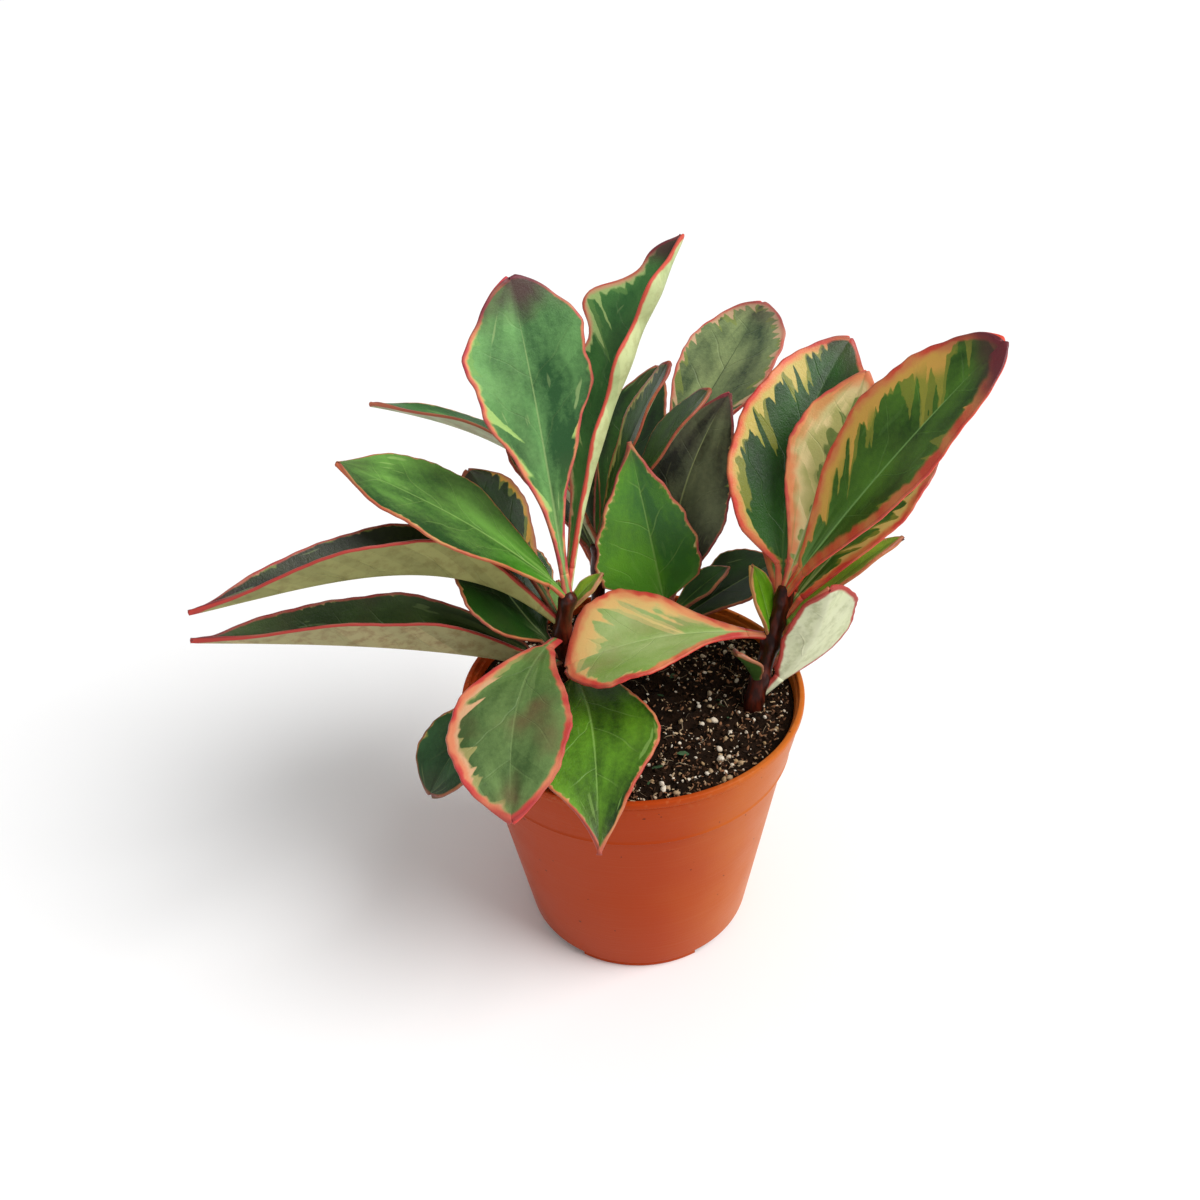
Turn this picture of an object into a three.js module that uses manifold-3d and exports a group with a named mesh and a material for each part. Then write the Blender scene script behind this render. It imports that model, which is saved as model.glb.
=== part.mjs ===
// Potted red-edge peperomia: a plastic nursery pot, its potting mix, four leafy stems
// and their thick variegated leaves. Millimetres, +Z up, the origin at the middle of
// the pot's foot. The plant's front looks along -Y.

import * as THREE from 'three';
import * as BufferGeometryUtils from 'three/addons/utils/BufferGeometryUtils.js';
import Module from 'manifold-3d';

const manifold = await Module();
manifold.setup();

// Pot
const POT = {
  height: 100,
  rimRadius: 60,
  footRadius: 42.5,
  wall: 1.2,
  floor: 1.6,
  bandHeight: 22,
  bandStep: 1.3,
  lipWidth: 1.9,
  lipHeight: 2.2,
  footStep: 2.6,
  footInset: 0.7,
  segments: 48,
};

// Drain notches in the foot, each turned from +X by the first angle and a quarter more
const DRAIN = { count: 4, firstAngle: 45, width: 22, height: 2.4, length: 12 };

// Potting mix: its top swells a little towards the middle and is uneven
const SOIL = { top: 95.2, swell: 1.0, bump: 0.8, rings: 6, segments: 36 };

// The mix's bumps: wide ones and a share of fine ones, in radians per mm, and how soon they rise
const BUMPS = {
  wide: [0.31, 0.37], start: [1.7, -0.6], fine: [0.83, -0.71], fineShare: 0.6, rise: 3,
  topBand: 1, edge: 0.01,
};

// Clearance between pieces that touch on the real plant
const GAP = 0.3;

// Blades: thickness at the rib and at the margin, and the stalk that carries them
const BLADE = {
  rib: 1.8, margin: 1.0, tipHalfWidth: 0.8, thickShare: 0.12, thickAtMargin: 0.5,
  foldAtBase: 1.15, foldDrop: 0.3, lobeShift: 0.15, waveShift: 0.2, leastCurl: 0.01,
};
const SLOPE_STEP = { along: 0.002, across: 0.05 };
const PETIOLE = { halfWidth: 2.0, widest: 2.6, halfThickness: 1.3, sides: 6, rows: 2 };
const LARGE_GRID = { rows: 11, columns: 4 };
const SMALL_GRID = { rows: 7, columns: 2 };
const SMALL_LEAF = 48;

// Leaves shorter than this are fused to their stem, their blade starting inside the stalk
const BUD = 33;
const BUD_OVERLAP = 0.05;

// Stems: a smooth line through points [x, y, z] and the radius at the soil and at the top
const STEM_SIDES = 8;
const STEM_RINGS = 7;
const STEMS = {
  left: { points: [[-20, 5, 70], [-22, 6, 98], [-24, 5, 116], [-20, 3, 137]], radius: [3.4, 2.4] },
  right: { points: [[39, -13, 70], [42, -9, 98], [48, 0, 116], [53, 4, 137]], radius: [3.6, 2.6] },
  middle: { points: [[13, 30, 70], [12, 31, 92], [13, 32, 101], [15, 33, 109]], radius: [3.2, 2.4] },
  back: { points: [[-14, 38, 70], [-13, 41, 98], [-12, 43, 116], [-11, 45, 132]], radius: [3.2, 2.4] },
};

// What a leaf has unless its own line says otherwise. Angles are in degrees; arch and sway
// are shares of the length; fold, curl and blunt are for the left and the right half. Taper
// narrows the blade towards its base and blunt rounds it towards its tip.
const LEAF = {
  roll: 0, twist: 0, arch: [0.05, 0.05], sway: [0, 0], fold: [14, 14], curl: [0, 0],
  lean: 0, widest: 0.64, taper: 1.1, blunt: [0.8, 0.8], lobe: 0.03, lobes: 5, wave: 0.8,
  waves: 3, phase: 0, stalk: 9,
};

// Leaves: the stem and the height of the node, where the tip points (azimuth from +X over
// +Y, and lift above the level), length and width, then the blade's own form
const LEAVES = {
  leaf_left_1: {
    node: ['left', 134], aim: [120, 76], size: [105, 41], widest: 0.74, blunt: [0.75, 0.45],
    fold: [8, 14], lean: 0.02, arch: [0.02, 0.04], lobe: 0.08, lobes: 5, phase: 0.1,
  },
  leaf_left_2: {
    node: ['left', 131], aim: [49, 60], size: [126, 34], roll: 20, widest: 0.7,
    sway: [0.05, 0.05], fold: [0, 40], curl: [0, 90], blunt: [1.1, 0.6], lobe: 0.32, lobes: 5,
    phase: 0.2, lean: 0.1, stalk: 13,
  },
  leaf_left_3: {
    node: ['left', 134], aim: [-178, 38], size: [87, 43], fold: [2, 8], curl: [0, 0],
    widest: 0.6, arch: [0.08, 0.06], lean: -0.1,
  },
  leaf_left_4: {
    node: ['left', 121], aim: [136, 47], size: [64, 24], widest: 0.74, blunt: [0.6, 0.6],
  },
  leaf_left_5: {
    node: ['left', 122], aim: [-160, 17], size: [120, 34], fold: [60, 52], widest: 0.48,
    arch: [0.22, 0.09], sway: [-0.1, -0.04], taper: 2, blunt: [1.1, 1.1], lean: 0.1,
  },
  leaf_left_6: {
    node: ['left', 102], aim: [-163, 19], size: [126, 36], fold: [58, 70], widest: 0.46,
    arch: [-0.02, 0], sway: [-0.12, -0.05], taper: 1.6, blunt: [1.1, 1.1], stalk: 12,
  },
  leaf_left_7: {
    node: ['left', 107], aim: [150, 47], size: [55, 44], widest: 0.62, sway: [0.12, 0.1],
    stalk: 11,
  },
  leaf_left_8: {
    node: ['left', 117], aim: [-100, -14], size: [74, 40], widest: 0.62, arch: [0.18, 0.14],
    sway: [-0.12, -0.08], fold: [12, 4], lean: -0.04, blunt: [0.7, 0.8],
  },
  leaf_left_9: {
    node: ['left', 103], aim: [-81, -8], size: [80, 40], widest: 0.56, blunt: [1.2, 1.3],
    arch: [0.12, 0.25], sway: [0.08, 0.04], fold: [14, 2], lobe: 0.14, lobes: 2.4, phase: 0.7,
  },
  leaf_left_10: {
    node: ['left', 107], aim: [-131, -15], size: [67, 27], widest: 0.76, blunt: [0.5, 0.5],
    arch: [0.16, 0.2],
  },
  leaf_left_11: {
    node: ['left', 118], aim: [95, 40], size: [20, 9], stalk: 4, wave: 0.3,
  },
  leaf_left_12: {
    node: ['left', 126], aim: [30, 38], size: [20, 8], stalk: 5, wave: 0.3,
  },
  leaf_back_1: {
    node: ['back', 130], aim: [178, 37], size: [97, 32], widest: 0.55, arch: [0.22, 0.14],
    roll: 20,
  },
  leaf_back_2: {
    node: ['back', 129], aim: [62, 47], size: [74, 26], stalk: 11,
  },
  leaf_back_3: {
    node: ['back', 131], aim: [8, 68], size: [73, 22], blunt: [0.5, 0.5],
  },
  leaf_back_4: {
    node: ['back', 120], aim: [42, 43], size: [120, 40], sway: [-0.03, -0.05], roll: 10,
    taper: 1.3, widest: 0.76, blunt: [0.6, 0.6], lean: -0.05, stalk: 12,
  },
  leaf_back_5: {
    node: ['back', 125], aim: [0, 58], size: [77, 26], blunt: [0.6, 0.6], widest: 0.7,
    stalk: 12,
  },
  leaf_middle_1: {
    node: ['middle', 105], aim: [172, 80], size: [73, 38], roll: -75, widest: 0.42,
    blunt: [1.1, 1.1], lobe: 0.06, lobes: 7, lean: 0.14, stalk: 10,
  },
  leaf_middle_2: {
    node: ['middle', 107], aim: [46, 67], size: [84, 36], roll: 20, sway: [0.09, 0.1],
    widest: 0.5, taper: 1.6, lean: -0.08,
  },
  leaf_middle_3: {
    node: ['middle', 104], aim: [12, 40], size: [31, 16], stalk: 5, wave: 0.4,
  },
  leaf_middle_4: {
    node: ['middle', 99], aim: [10, 30], size: [52, 34],
  },
  leaf_right_1: {
    node: ['right', 118], aim: [-172, -3], size: [71, 54], widest: 0.7, blunt: [0.5, 0.6],
    arch: [0.12, 0.12],
  },
  leaf_right_2: {
    node: ['right', 131], aim: [64, 50], size: [93, 46], sway: [0.11, 0.12], widest: 0.5,
    taper: 1.2, blunt: [0.65, 0.65], roll: 20, stalk: 12,
  },
  leaf_right_3: {
    node: ['right', 136], aim: [45, 61], size: [74, 30], roll: 10, stalk: 9,
  },
  leaf_right_4: {
    node: ['right', 132], aim: [-17, 59], size: [107, 40], widest: 0.6, taper: 1.3, roll: 45,
    blunt: [0.5, 0.5], lean: 0.1, fold: [6, 22], curl: [0, 10], stalk: 14,
  },
  leaf_right_5: {
    node: ['right', 122], aim: [22, 43], size: [79, 25], roll: 10, stalk: 13,
  },
  leaf_right_6: {
    node: ['right', 116], aim: [13, 38], size: [56, 14], stalk: 10, fold: [30, 30], wave: 0.4,
  },
  leaf_right_7: {
    node: ['right', 99], aim: [-3, 64], size: [50, 28], fold: [25, 5], roll: -75,
    blunt: [0.6, 0.6], widest: 0.6, lean: 0.3, sway: [0.22, 0.16], stalk: 10,
  },
  leaf_right_8: {
    node: ['right', 116], aim: [138, 71], size: [29, 11], stalk: 6, wave: 0.3,
  },
  leaf_right_9: {
    node: ['right', 104], aim: [-137, 57], size: [22, 12], stalk: 4, wave: 0.3,
  },
  leaf_back_6: {
    node: ['back', 116], aim: [100, 32], size: [78, 38],
  },
  leaf_back_7: {
    node: ['back', 122], aim: [122, 40], size: [76, 36],
  },
  leaf_middle_5: {
    node: ['middle', 101], aim: [88, 38], size: [74, 34], stalk: 11,
  },
  leaf_middle_6: {
    node: ['middle', 98], aim: [95, 22], size: [66, 36],
  },
  leaf_right_10: {
    node: ['right', 124], aim: [76, 40], size: [78, 36], stalk: 10,
  },
  leaf_right_11: {
    node: ['right', 106], aim: [56, 6], size: [54, 30],
  },
};

// The chord of a leaf, its upper face's direction and its left
function leafAxes(leaf) {
  const azimuth = THREE.MathUtils.degToRad(leaf.aim[0]);
  const lift = THREE.MathUtils.degToRad(leaf.aim[1]);
  const along = new THREE.Vector3(
    Math.cos(lift) * Math.cos(azimuth),
    Math.cos(lift) * Math.sin(azimuth),
    Math.sin(lift),
  );
  const face = new THREE.Vector3(0, 0, 1).addScaledVector(along, -along.z).normalize();
  face.applyAxisAngle(along, THREE.MathUtils.degToRad(leaf.roll));
  const left = new THREE.Vector3().crossVectors(face, along);
  return { along, face, left };
}

// The point of a stem's line at a height
function stemPoint(curve, height) {
  let low = 0;
  let high = 1;
  const point = new THREE.Vector3();
  for (let step = 0; step < 30; step += 1) {
    const middle = (low + high) / 2;
    curve.getPoint(middle, point);
    if (point.z < height) low = middle;
    else high = middle;
  }
  return point;
}

// The rib of a leaf: a cubic curve from the stem's axis to the tip
function leafRib(leaf, base, axes) {
  const reach = (share, arch, sway) => base.clone()
    .addScaledVector(axes.along, leaf.size[0] * share)
    .addScaledVector(axes.face, leaf.size[0] * arch)
    .addScaledVector(axes.left, leaf.size[0] * sway);
  return new THREE.CubicBezierCurve3(
    base,
    reach(1 / 3, leaf.arch[0], leaf.sway[0]),
    reach(2 / 3, leaf.arch[1], leaf.sway[1]),
    reach(1, 0, 0),
  );
}

// The blade's frame at a share s of its length: where the rib is, and the face and left
// directions there, turned by the twist
function frameAt(leaf, rib, axes, s) {
  const origin = rib.getPoint(s);
  const along = rib.getTangent(s);
  const face = axes.face.clone().addScaledVector(along, -axes.face.dot(along)).normalize();
  face.applyAxisAngle(along, THREE.MathUtils.degToRad(leaf.twist * s));
  const left = new THREE.Vector3().crossVectors(face, along);
  return { origin, face, left };
}

// Half of the blade's width at s, on the left (side 1) or the right (side -1)
function halfWidth(leaf, s, side) {
  const power = Math.log(0.5) / Math.log(leaf.widest);
  const towardsTip = s > leaf.widest;
  const narrowing = towardsTip ? leaf.blunt[side > 0 ? 0 : 1] : leaf.taper;
  const outline = Math.sin(Math.PI * s ** power) ** narrowing;
  const turn = leaf.lobes * s + leaf.phase + side * BLADE.lobeShift;
  const teeth = 1 + leaf.lobe * s * Math.sin(2 * Math.PI * turn);
  const stalk = PETIOLE.halfWidth * (1 - s) ** 3;
  const half = (leaf.size[1] / 2) * (1 + side * leaf.lean);
  return Math.max(half * outline * teeth + stalk, BLADE.tipHalfWidth);
}

// A point of the blade's middle surface at s, and u from -1 (right margin) to 1 (left margin)
function bladePoint(leaf, rib, axes, s, u) {
  const side = u < 0 ? -1 : 1;
  const t = Math.abs(u);
  const half = side > 0 ? 0 : 1;
  const { origin, face, left } = frameAt(leaf, rib, axes, s);
  const fold = THREE.MathUtils.degToRad(leaf.fold[half] * (BLADE.foldAtBase - BLADE.foldDrop * s));
  const curl = THREE.MathUtils.degToRad(leaf.curl[half] || BLADE.leastCurl);
  const width = halfWidth(leaf, s, side);
  const across = (width * (Math.sin(fold + curl * t) - Math.sin(fold))) / curl;
  const up = (width * (Math.cos(fold) - Math.cos(fold + curl * t))) / curl;
  const turn = leaf.waves * s + leaf.phase + side * BLADE.waveShift;
  const ruffle = leaf.wave * s * t * t * Math.sin(2 * Math.PI * turn);
  return origin.addScaledVector(left, side * across).addScaledVector(face, up + ruffle);
}

// A closed mesh from points and triangles
function meshOf(points, triangles) {
  const geometry = new THREE.BufferGeometry();
  const places = points.flatMap((p) => [p.x, p.y, p.z]);
  geometry.setAttribute('position', new THREE.Float32BufferAttribute(places, 3));
  geometry.setIndex(triangles);
  return geometry;
}

// The upper face's direction at a point of the blade
function bladeNormal(leaf, rib, axes, s, u) {
  const { along, across } = SLOPE_STEP;
  const ahead = bladePoint(leaf, rib, axes, Math.min(s + along, 1), u)
    .sub(bladePoint(leaf, rib, axes, Math.max(s - along, 0), u));
  const over = bladePoint(leaf, rib, axes, s, Math.min(u + across, 1))
    .sub(bladePoint(leaf, rib, axes, s, Math.max(u - across, -1)));
  return new THREE.Vector3().crossVectors(ahead, over).normalize();
}

// Thickness of the blade: thinner towards its margins, as thick as the stalk where it starts
function bladeThickness(s, u, start) {
  const thickness = THREE.MathUtils.lerp(BLADE.rib, BLADE.margin, Math.abs(u));
  const base = Math.max(0, 1 - (s - start) / BLADE.thickShare);
  const share = base * (1 - Math.abs(u) * BLADE.thickAtMargin);
  return THREE.MathUtils.lerp(thickness, 2 * PETIOLE.halfThickness, share);
}

// A blade: the same grid on its upper and lower face, split alike, joined by a rim
function bladeGeometry(leaf, rib, axes, start) {
  const { rows, columns } = leaf.size[0] < SMALL_LEAF ? SMALL_GRID : LARGE_GRID;
  const points = [];
  for (const face of [1, -1]) {
    for (let row = 0; row <= rows; row += 1) {
      const s = start + (1 - start) * (row / rows);
      for (let column = 0; column <= columns; column += 1) {
        const u = (2 * column) / columns - 1;
        const normal = bladeNormal(leaf, rib, axes, s, u);
        const offset = (face * bladeThickness(s, u, start)) / 2;
        points.push(bladePoint(leaf, rib, axes, s, u).addScaledVector(normal, offset));
      }
    }
  }
  const at = (face, row, column) => (face * (rows + 1) + row) * (columns + 1) + column;
  const triangles = [];
  const quad = (a, b, c, d) => triangles.push(a, b, c, a, c, d);
  for (let row = 0; row < rows; row += 1) {
    for (let column = 0; column < columns; column += 1) {
      const mirrored = column < columns / 2;
      const corners = [[row, column], [row + 1, column], [row + 1, column + 1], [row, column + 1]];
      const turn = mirrored ? corners : [...corners.slice(1), corners[0]];
      const [a, b, c, d] = turn.map(([r, k]) => at(0, r, k));
      const [e, f, g, h] = turn.map(([r, k]) => at(1, r, k));
      quad(a, b, c, d);
      triangles.push(e, g, f, e, h, g);
    }
    quad(at(0, row, 0), at(1, row, 0), at(1, row + 1, 0), at(0, row + 1, 0));
    quad(at(0, row + 1, columns), at(1, row + 1, columns), at(1, row, columns), at(0, row, columns));
  }
  for (let column = 0; column < columns; column += 1) {
    quad(at(0, 0, column + 1), at(1, 0, column + 1), at(1, 0, column), at(0, 0, column));
    quad(at(0, rows, column), at(1, rows, column), at(1, rows, column + 1), at(0, rows, column + 1));
  }
  return meshOf(points, triangles);
}

// A tube along rings of points, closed at both ends
function ringTube(rings) {
  const sides = rings[0].length;
  const points = rings.flat();
  const triangles = [];
  for (let ring = 0; ring < rings.length - 1; ring += 1) {
    for (let side = 0; side < sides; side += 1) {
      const next = (side + 1) % sides;
      const a = ring * sides + side;
      const b = ring * sides + next;
      triangles.push(a, b, b + sides, a, b + sides, a + sides);
    }
  }
  const last = (rings.length - 1) * sides;
  for (let side = 1; side < sides - 1; side += 1) {
    triangles.push(0, side + 1, side);
    triangles.push(last, last + side, last + side + 1);
  }
  return meshOf(points, triangles);
}

// The stalk of a leaf, from the stem's axis to where the blade starts
function stalkGeometry(leaf, rib, axes, end) {
  const rings = [];
  for (let row = 0; row <= PETIOLE.rows; row += 1) {
    const s = (end * row) / PETIOLE.rows;
    const { origin, face, left } = frameAt(leaf, rib, axes, s);
    const across = Math.min(halfWidth(leaf, s, 1), PETIOLE.widest);
    const ring = [];
    for (let side = 0; side < PETIOLE.sides; side += 1) {
      const angle = (2 * Math.PI * side) / PETIOLE.sides;
      ring.push(origin.clone()
        .addScaledVector(left, across * Math.cos(angle))
        .addScaledVector(face, PETIOLE.halfThickness * Math.sin(angle)));
    }
    rings.push(ring);
  }
  return ringTube(rings);
}

// A stem along its line, thinner towards the top
function stemGeometry(curve, radius) {
  const frames = curve.computeFrenetFrames(STEM_RINGS, false);
  const rings = [];
  for (let row = 0; row <= STEM_RINGS; row += 1) {
    const centre = curve.getPointAt(row / STEM_RINGS);
    const size = THREE.MathUtils.lerp(radius[0], radius[1], row / STEM_RINGS);
    const ring = [];
    for (let side = 0; side < STEM_SIDES; side += 1) {
      const angle = (2 * Math.PI * side) / STEM_SIDES;
      ring.push(centre.clone()
        .addScaledVector(frames.normals[row], size * Math.cos(angle))
        .addScaledVector(frames.binormals[row], size * Math.sin(angle)));
    }
    rings.push(ring);
  }
  return ringTube(rings);
}

// To and from the solids that joins and cuts work on
function solidOf(geometry) {
  const bare = geometry.clone();
  bare.deleteAttribute('normal');
  bare.deleteAttribute('uv');
  const merged = BufferGeometryUtils.mergeVertices(bare, 1e-4);
  return new manifold.Manifold(new manifold.Mesh({
    numProp: 3,
    vertProperties: new Float32Array(merged.attributes.position.array),
    triVerts: new Uint32Array(merged.index.array),
  }));
}

function geometryOf(solid) {
  const mesh = solid.getMesh();
  const geometry = new THREE.BufferGeometry();
  geometry.setAttribute('position', new THREE.Float32BufferAttribute(mesh.vertProperties, 3));
  geometry.setIndex(new THREE.Uint32BufferAttribute(mesh.triVerts, 1));
  return geometry;
}

// A profile of [radius, height] turned about the pot's axis
function lathed(profile, segments) {
  const points = profile.map(([radius, height]) => new THREE.Vector2(radius, height));
  return new THREE.LatheGeometry(points, segments).rotateX(Math.PI / 2);
}

// The pot: a tapered wall with a stepped band under the rim, on a flat floor
function potGeometry() {
  const bandFoot = POT.height - POT.bandHeight;
  const outer = (z) => THREE.MathUtils.lerp(POT.footRadius, POT.rimRadius, z / POT.height);
  const lipFoot = POT.height - POT.lipHeight;
  const profile = [
    [0, 0],
    [POT.footRadius - POT.footInset, 0],
    [POT.footRadius - POT.footInset, POT.footStep],
    [outer(POT.footStep), POT.footStep + POT.footInset],
    [outer(bandFoot) - POT.bandStep, bandFoot],
    [outer(bandFoot), bandFoot],
    [POT.rimRadius, POT.height],
    [POT.rimRadius - POT.lipWidth, POT.height],
    [outer(lipFoot) - POT.lipWidth, lipFoot],
    [soilRadius(lipFoot) + GAP, lipFoot],
    [soilRadius(bandFoot) + GAP, bandFoot],
    [soilRadius(POT.floor) + GAP, POT.floor],
    [0, POT.floor],
  ];
  return lathed(profile, POT.segments);
}

// The radius of the potting mix at a height, just inside the pot's wall
function soilRadius(z) {
  const straight = THREE.MathUtils.lerp(POT.footRadius, POT.rimRadius, z / POT.height);
  return straight - POT.bandStep - POT.wall - GAP;
}

// The notches that drain the pot, cut into the corner of wall and floor: the lower half of each
// box lies below the foot
function drainNotches() {
  return Array.from({ length: DRAIN.count }, (_, index) => {
    const angle = THREE.MathUtils.degToRad(DRAIN.firstAngle + (360 / DRAIN.count) * index);
    const notch = new THREE.BoxGeometry(DRAIN.length, DRAIN.width, 2 * DRAIN.height);
    notch.translate(POT.footRadius, 0, 0);
    notch.rotateZ(angle);
    return notch;
  });
}

// The potting mix: a plug that fills the pot, with an uneven top
function soilGeometry() {
  const top = soilRadius(SOIL.top);
  const foot = POT.floor + GAP;
  const profile = [[0, foot], [soilRadius(foot), foot], [top, SOIL.top]];
  for (let ring = 1; ring <= SOIL.rings; ring += 1) {
    const share = 1 - ring / SOIL.rings;
    profile.push([top * share, SOIL.top + SOIL.swell * (1 - share * share)]);
  }
  const geometry = lathed(profile, SOIL.segments);
  const { position } = geometry.attributes;
  for (let index = 0; index < position.count; index += 1) {
    const x = position.getX(index);
    const y = position.getY(index);
    const z = position.getZ(index);
    const inside = 1 - Math.hypot(x, y) / top;
    if (z > SOIL.top - BUMPS.topBand && inside > BUMPS.edge) {
      const { wide, start, fine, fineShare } = BUMPS;
      const broad = Math.sin(x * wide[0] + start[0]) * Math.cos(y * wide[1] + start[1]);
      const bump = broad + fineShare * Math.sin(x * fine[0] + y * fine[1]);
      position.setZ(index, z + SOIL.bump * bump * Math.min(1, inside * BUMPS.rise));
    }
  }
  return geometry;
}

// Materials, one for each kind of piece
const MATERIALS = {
  pot: { color: 0xb8562c, roughness: 0.45, metalness: 0 },
  soil: { color: 0x2b1f18, roughness: 0.95, metalness: 0 },
  stem: { color: 0x5a2420, roughness: 0.5, metalness: 0 },
  leaf: { color: 0x3c6b35, roughness: 0.35, metalness: 0 },
};

const plant = new THREE.Group();

function addPiece(name, geometry, material) {
  const mesh = new THREE.Mesh(geometry, new THREE.MeshStandardMaterial(MATERIALS[material]));
  mesh.name = name;
  plant.add(mesh);
}

// Stems with the stalks of their leaves, and the blades
const stemSolids = {};
for (const [name, stem] of Object.entries(STEMS)) {
  stem.curve = new THREE.CatmullRomCurve3(stem.points.map((p) => new THREE.Vector3(...p)));
  stemSolids[name] = solidOf(stemGeometry(stem.curve, stem.radius));
}
for (const [name, form] of Object.entries(LEAVES)) {
  const leaf = { ...LEAF, ...form };
  const [stem, height] = leaf.node;
  const axes = leafAxes(leaf);
  const rib = leafRib(leaf, stemPoint(STEMS[stem].curve, height), axes);
  const end = leaf.stalk / leaf.size[0];
  const start = end + GAP / leaf.size[0];
  stemSolids[stem] = stemSolids[stem].add(solidOf(stalkGeometry(leaf, rib, axes, end)));
  if (leaf.size[0] < BUD) {
    const bud = bladeGeometry(leaf, rib, axes, end - BUD_OVERLAP);
    stemSolids[stem] = stemSolids[stem].add(solidOf(bud));
  } else {
    addPiece(name, bladeGeometry(leaf, rib, axes, start), 'leaf');
  }
}
for (const [name, solid] of Object.entries(stemSolids)) {
  addPiece(`stem_${name}`, geometryOf(solid), 'stem');
}

// The pot with its drain notches, and the mix with a plain hole for each stem
let pot = solidOf(potGeometry());
for (const notch of drainNotches()) pot = pot.subtract(solidOf(notch));
addPiece('pot', geometryOf(pot), 'pot');

let soil = solidOf(soilGeometry());
for (const stem of Object.values(STEMS)) {
  const hole = stemGeometry(stem.curve, stem.radius.map((radius) => radius + GAP));
  soil = soil.subtract(solidOf(hole));
}
addPiece('soil', geometryOf(soil), 'soil');

export default plant;
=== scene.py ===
"""A potted red-edge peperomia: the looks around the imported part.

Every CAD solid is replaced by a finer mesh grown by the same rules: the pot's profile, the plug of
potting mix, the stems' lines and each leaf's form. Variegation, veins, perlite and plastic are
procedural. Forms and patterns are in millimetres; Blender's unit is the metre.
"""

import logging
import math
from dataclasses import dataclass, replace
from functools import cached_property
from typing import Callable, Optional, Sequence, Union

import bpy
import numpy as np
from mathutils import Matrix, Vector, noise


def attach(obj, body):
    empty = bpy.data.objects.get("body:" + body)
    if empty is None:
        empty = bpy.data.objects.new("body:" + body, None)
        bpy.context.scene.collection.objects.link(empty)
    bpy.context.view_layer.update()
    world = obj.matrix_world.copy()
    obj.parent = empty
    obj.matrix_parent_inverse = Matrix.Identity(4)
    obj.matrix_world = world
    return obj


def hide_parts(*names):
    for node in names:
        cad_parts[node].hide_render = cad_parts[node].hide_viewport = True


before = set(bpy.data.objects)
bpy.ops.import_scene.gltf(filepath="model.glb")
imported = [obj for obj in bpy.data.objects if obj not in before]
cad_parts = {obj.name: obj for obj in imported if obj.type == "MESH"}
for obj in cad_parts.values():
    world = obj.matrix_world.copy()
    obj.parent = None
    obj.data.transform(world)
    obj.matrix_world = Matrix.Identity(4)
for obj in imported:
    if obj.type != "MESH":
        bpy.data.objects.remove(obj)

LOG = logging.getLogger("peperomia")
MM = 0.001
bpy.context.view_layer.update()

Colour = tuple[float, float, float, float]
Value = Union[float, str, Sequence[float], "Field"]


# ---------------------------------------------------------------- meshes


def select_only(*objects: bpy.types.Object) -> None:
    """Selects these objects alone and makes the first one active."""
    bpy.ops.object.select_all(action="DESELECT")
    for obj in objects:
        obj.select_set(True)
    bpy.context.view_layer.objects.active = objects[0]


def points_of(obj: bpy.types.Object) -> np.ndarray:
    """The mesh's vertices as rows of x, y, z.

    Args:
        obj: the mesh object.

    Returns:
        One row for each vertex.
    """
    flat = np.empty(len(obj.data.vertices) * 3)
    obj.data.vertices.foreach_get("co", flat)
    return flat.reshape(-1, 3)


def set_attribute(obj: bpy.types.Object, name: str, values: np.ndarray) -> None:
    """Stores one number a vertex under a name that materials can read."""
    attribute = obj.data.attributes.new(name, "FLOAT", "POINT")
    attribute.data.foreach_set("value", np.asarray(values, dtype=np.float32))


@dataclass
class ClosedGrid:
    """A closed sphere mesh, with each vertex's ring (0 at its start) and its place round the ring."""

    obj: bpy.types.Object
    ring: np.ndarray
    turn: np.ndarray

    def place(self, table: np.ndarray) -> None:
        """Moves the vertices to table[ring, turn], in millimetres."""
        self.obj.data.vertices.foreach_set("co", (table[self.ring, self.turn] * MM).ravel())
        self.obj.data.update()

    def attribute(self, name: str, table: np.ndarray) -> None:
        """Stores table[ring, turn] as an attribute."""
        set_attribute(self.obj, name, table[self.ring, self.turn])


def closed_grid(name: str, around: int, rings: int) -> ClosedGrid:
    """A new closed grid.

    Args:
        name: name of the object and its mesh.
        around: vertices round each ring.
        rings: steps from the first pole to the last.

    Returns:
        The grid, still a unit sphere.
    """
    bpy.ops.object.select_all(action="DESELECT")
    bpy.ops.mesh.primitive_uv_sphere_add(segments=around, ring_count=rings, radius=1.0)
    obj = bpy.context.active_object
    obj.name = obj.data.name = name
    unit = points_of(obj)
    polar = np.arccos(np.clip(unit[:, 2], -1.0, 1.0)) / np.pi
    ring = rings - np.rint(polar * rings).astype(int)
    turn = np.rint(np.arctan2(unit[:, 1], unit[:, 0]) / (2 * np.pi) * around).astype(int) % around
    return ClosedGrid(obj, ring, turn)


def loose_mesh(name: str, points_mm: np.ndarray, faces: list, shades: np.ndarray) -> bpy.types.Object:
    """A new mesh object from points and faces, with a shade for each point and a UV map.

    Args:
        name: name of the mesh and its object.
        points_mm: rows of x, y, z.
        faces: the corners of each face.
        shades: one number for each point.

    Returns:
        The object.
    """
    mesh = bpy.data.meshes.new(name)
    mesh.from_pydata(points_mm * MM, [], faces)
    obj = bpy.data.objects.new(name, mesh)
    bpy.context.collection.objects.link(obj)
    set_attribute(obj, "shade", shades)
    mesh.uv_layers.new(name="UVMap")
    return obj


def shade_smooth(obj: bpy.types.Object, degrees: Optional[float] = None) -> None:
    """Smooth shading, with edges sharper than the angle kept crisp if one is given.

    Args:
        obj: the mesh object.
        degrees: the angle, or none to smooth every edge.
    """
    select_only(obj)
    if degrees is None:
        bpy.ops.object.shade_smooth()
    else:
        bpy.ops.object.shade_smooth_by_angle(angle=math.radians(degrees))


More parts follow.
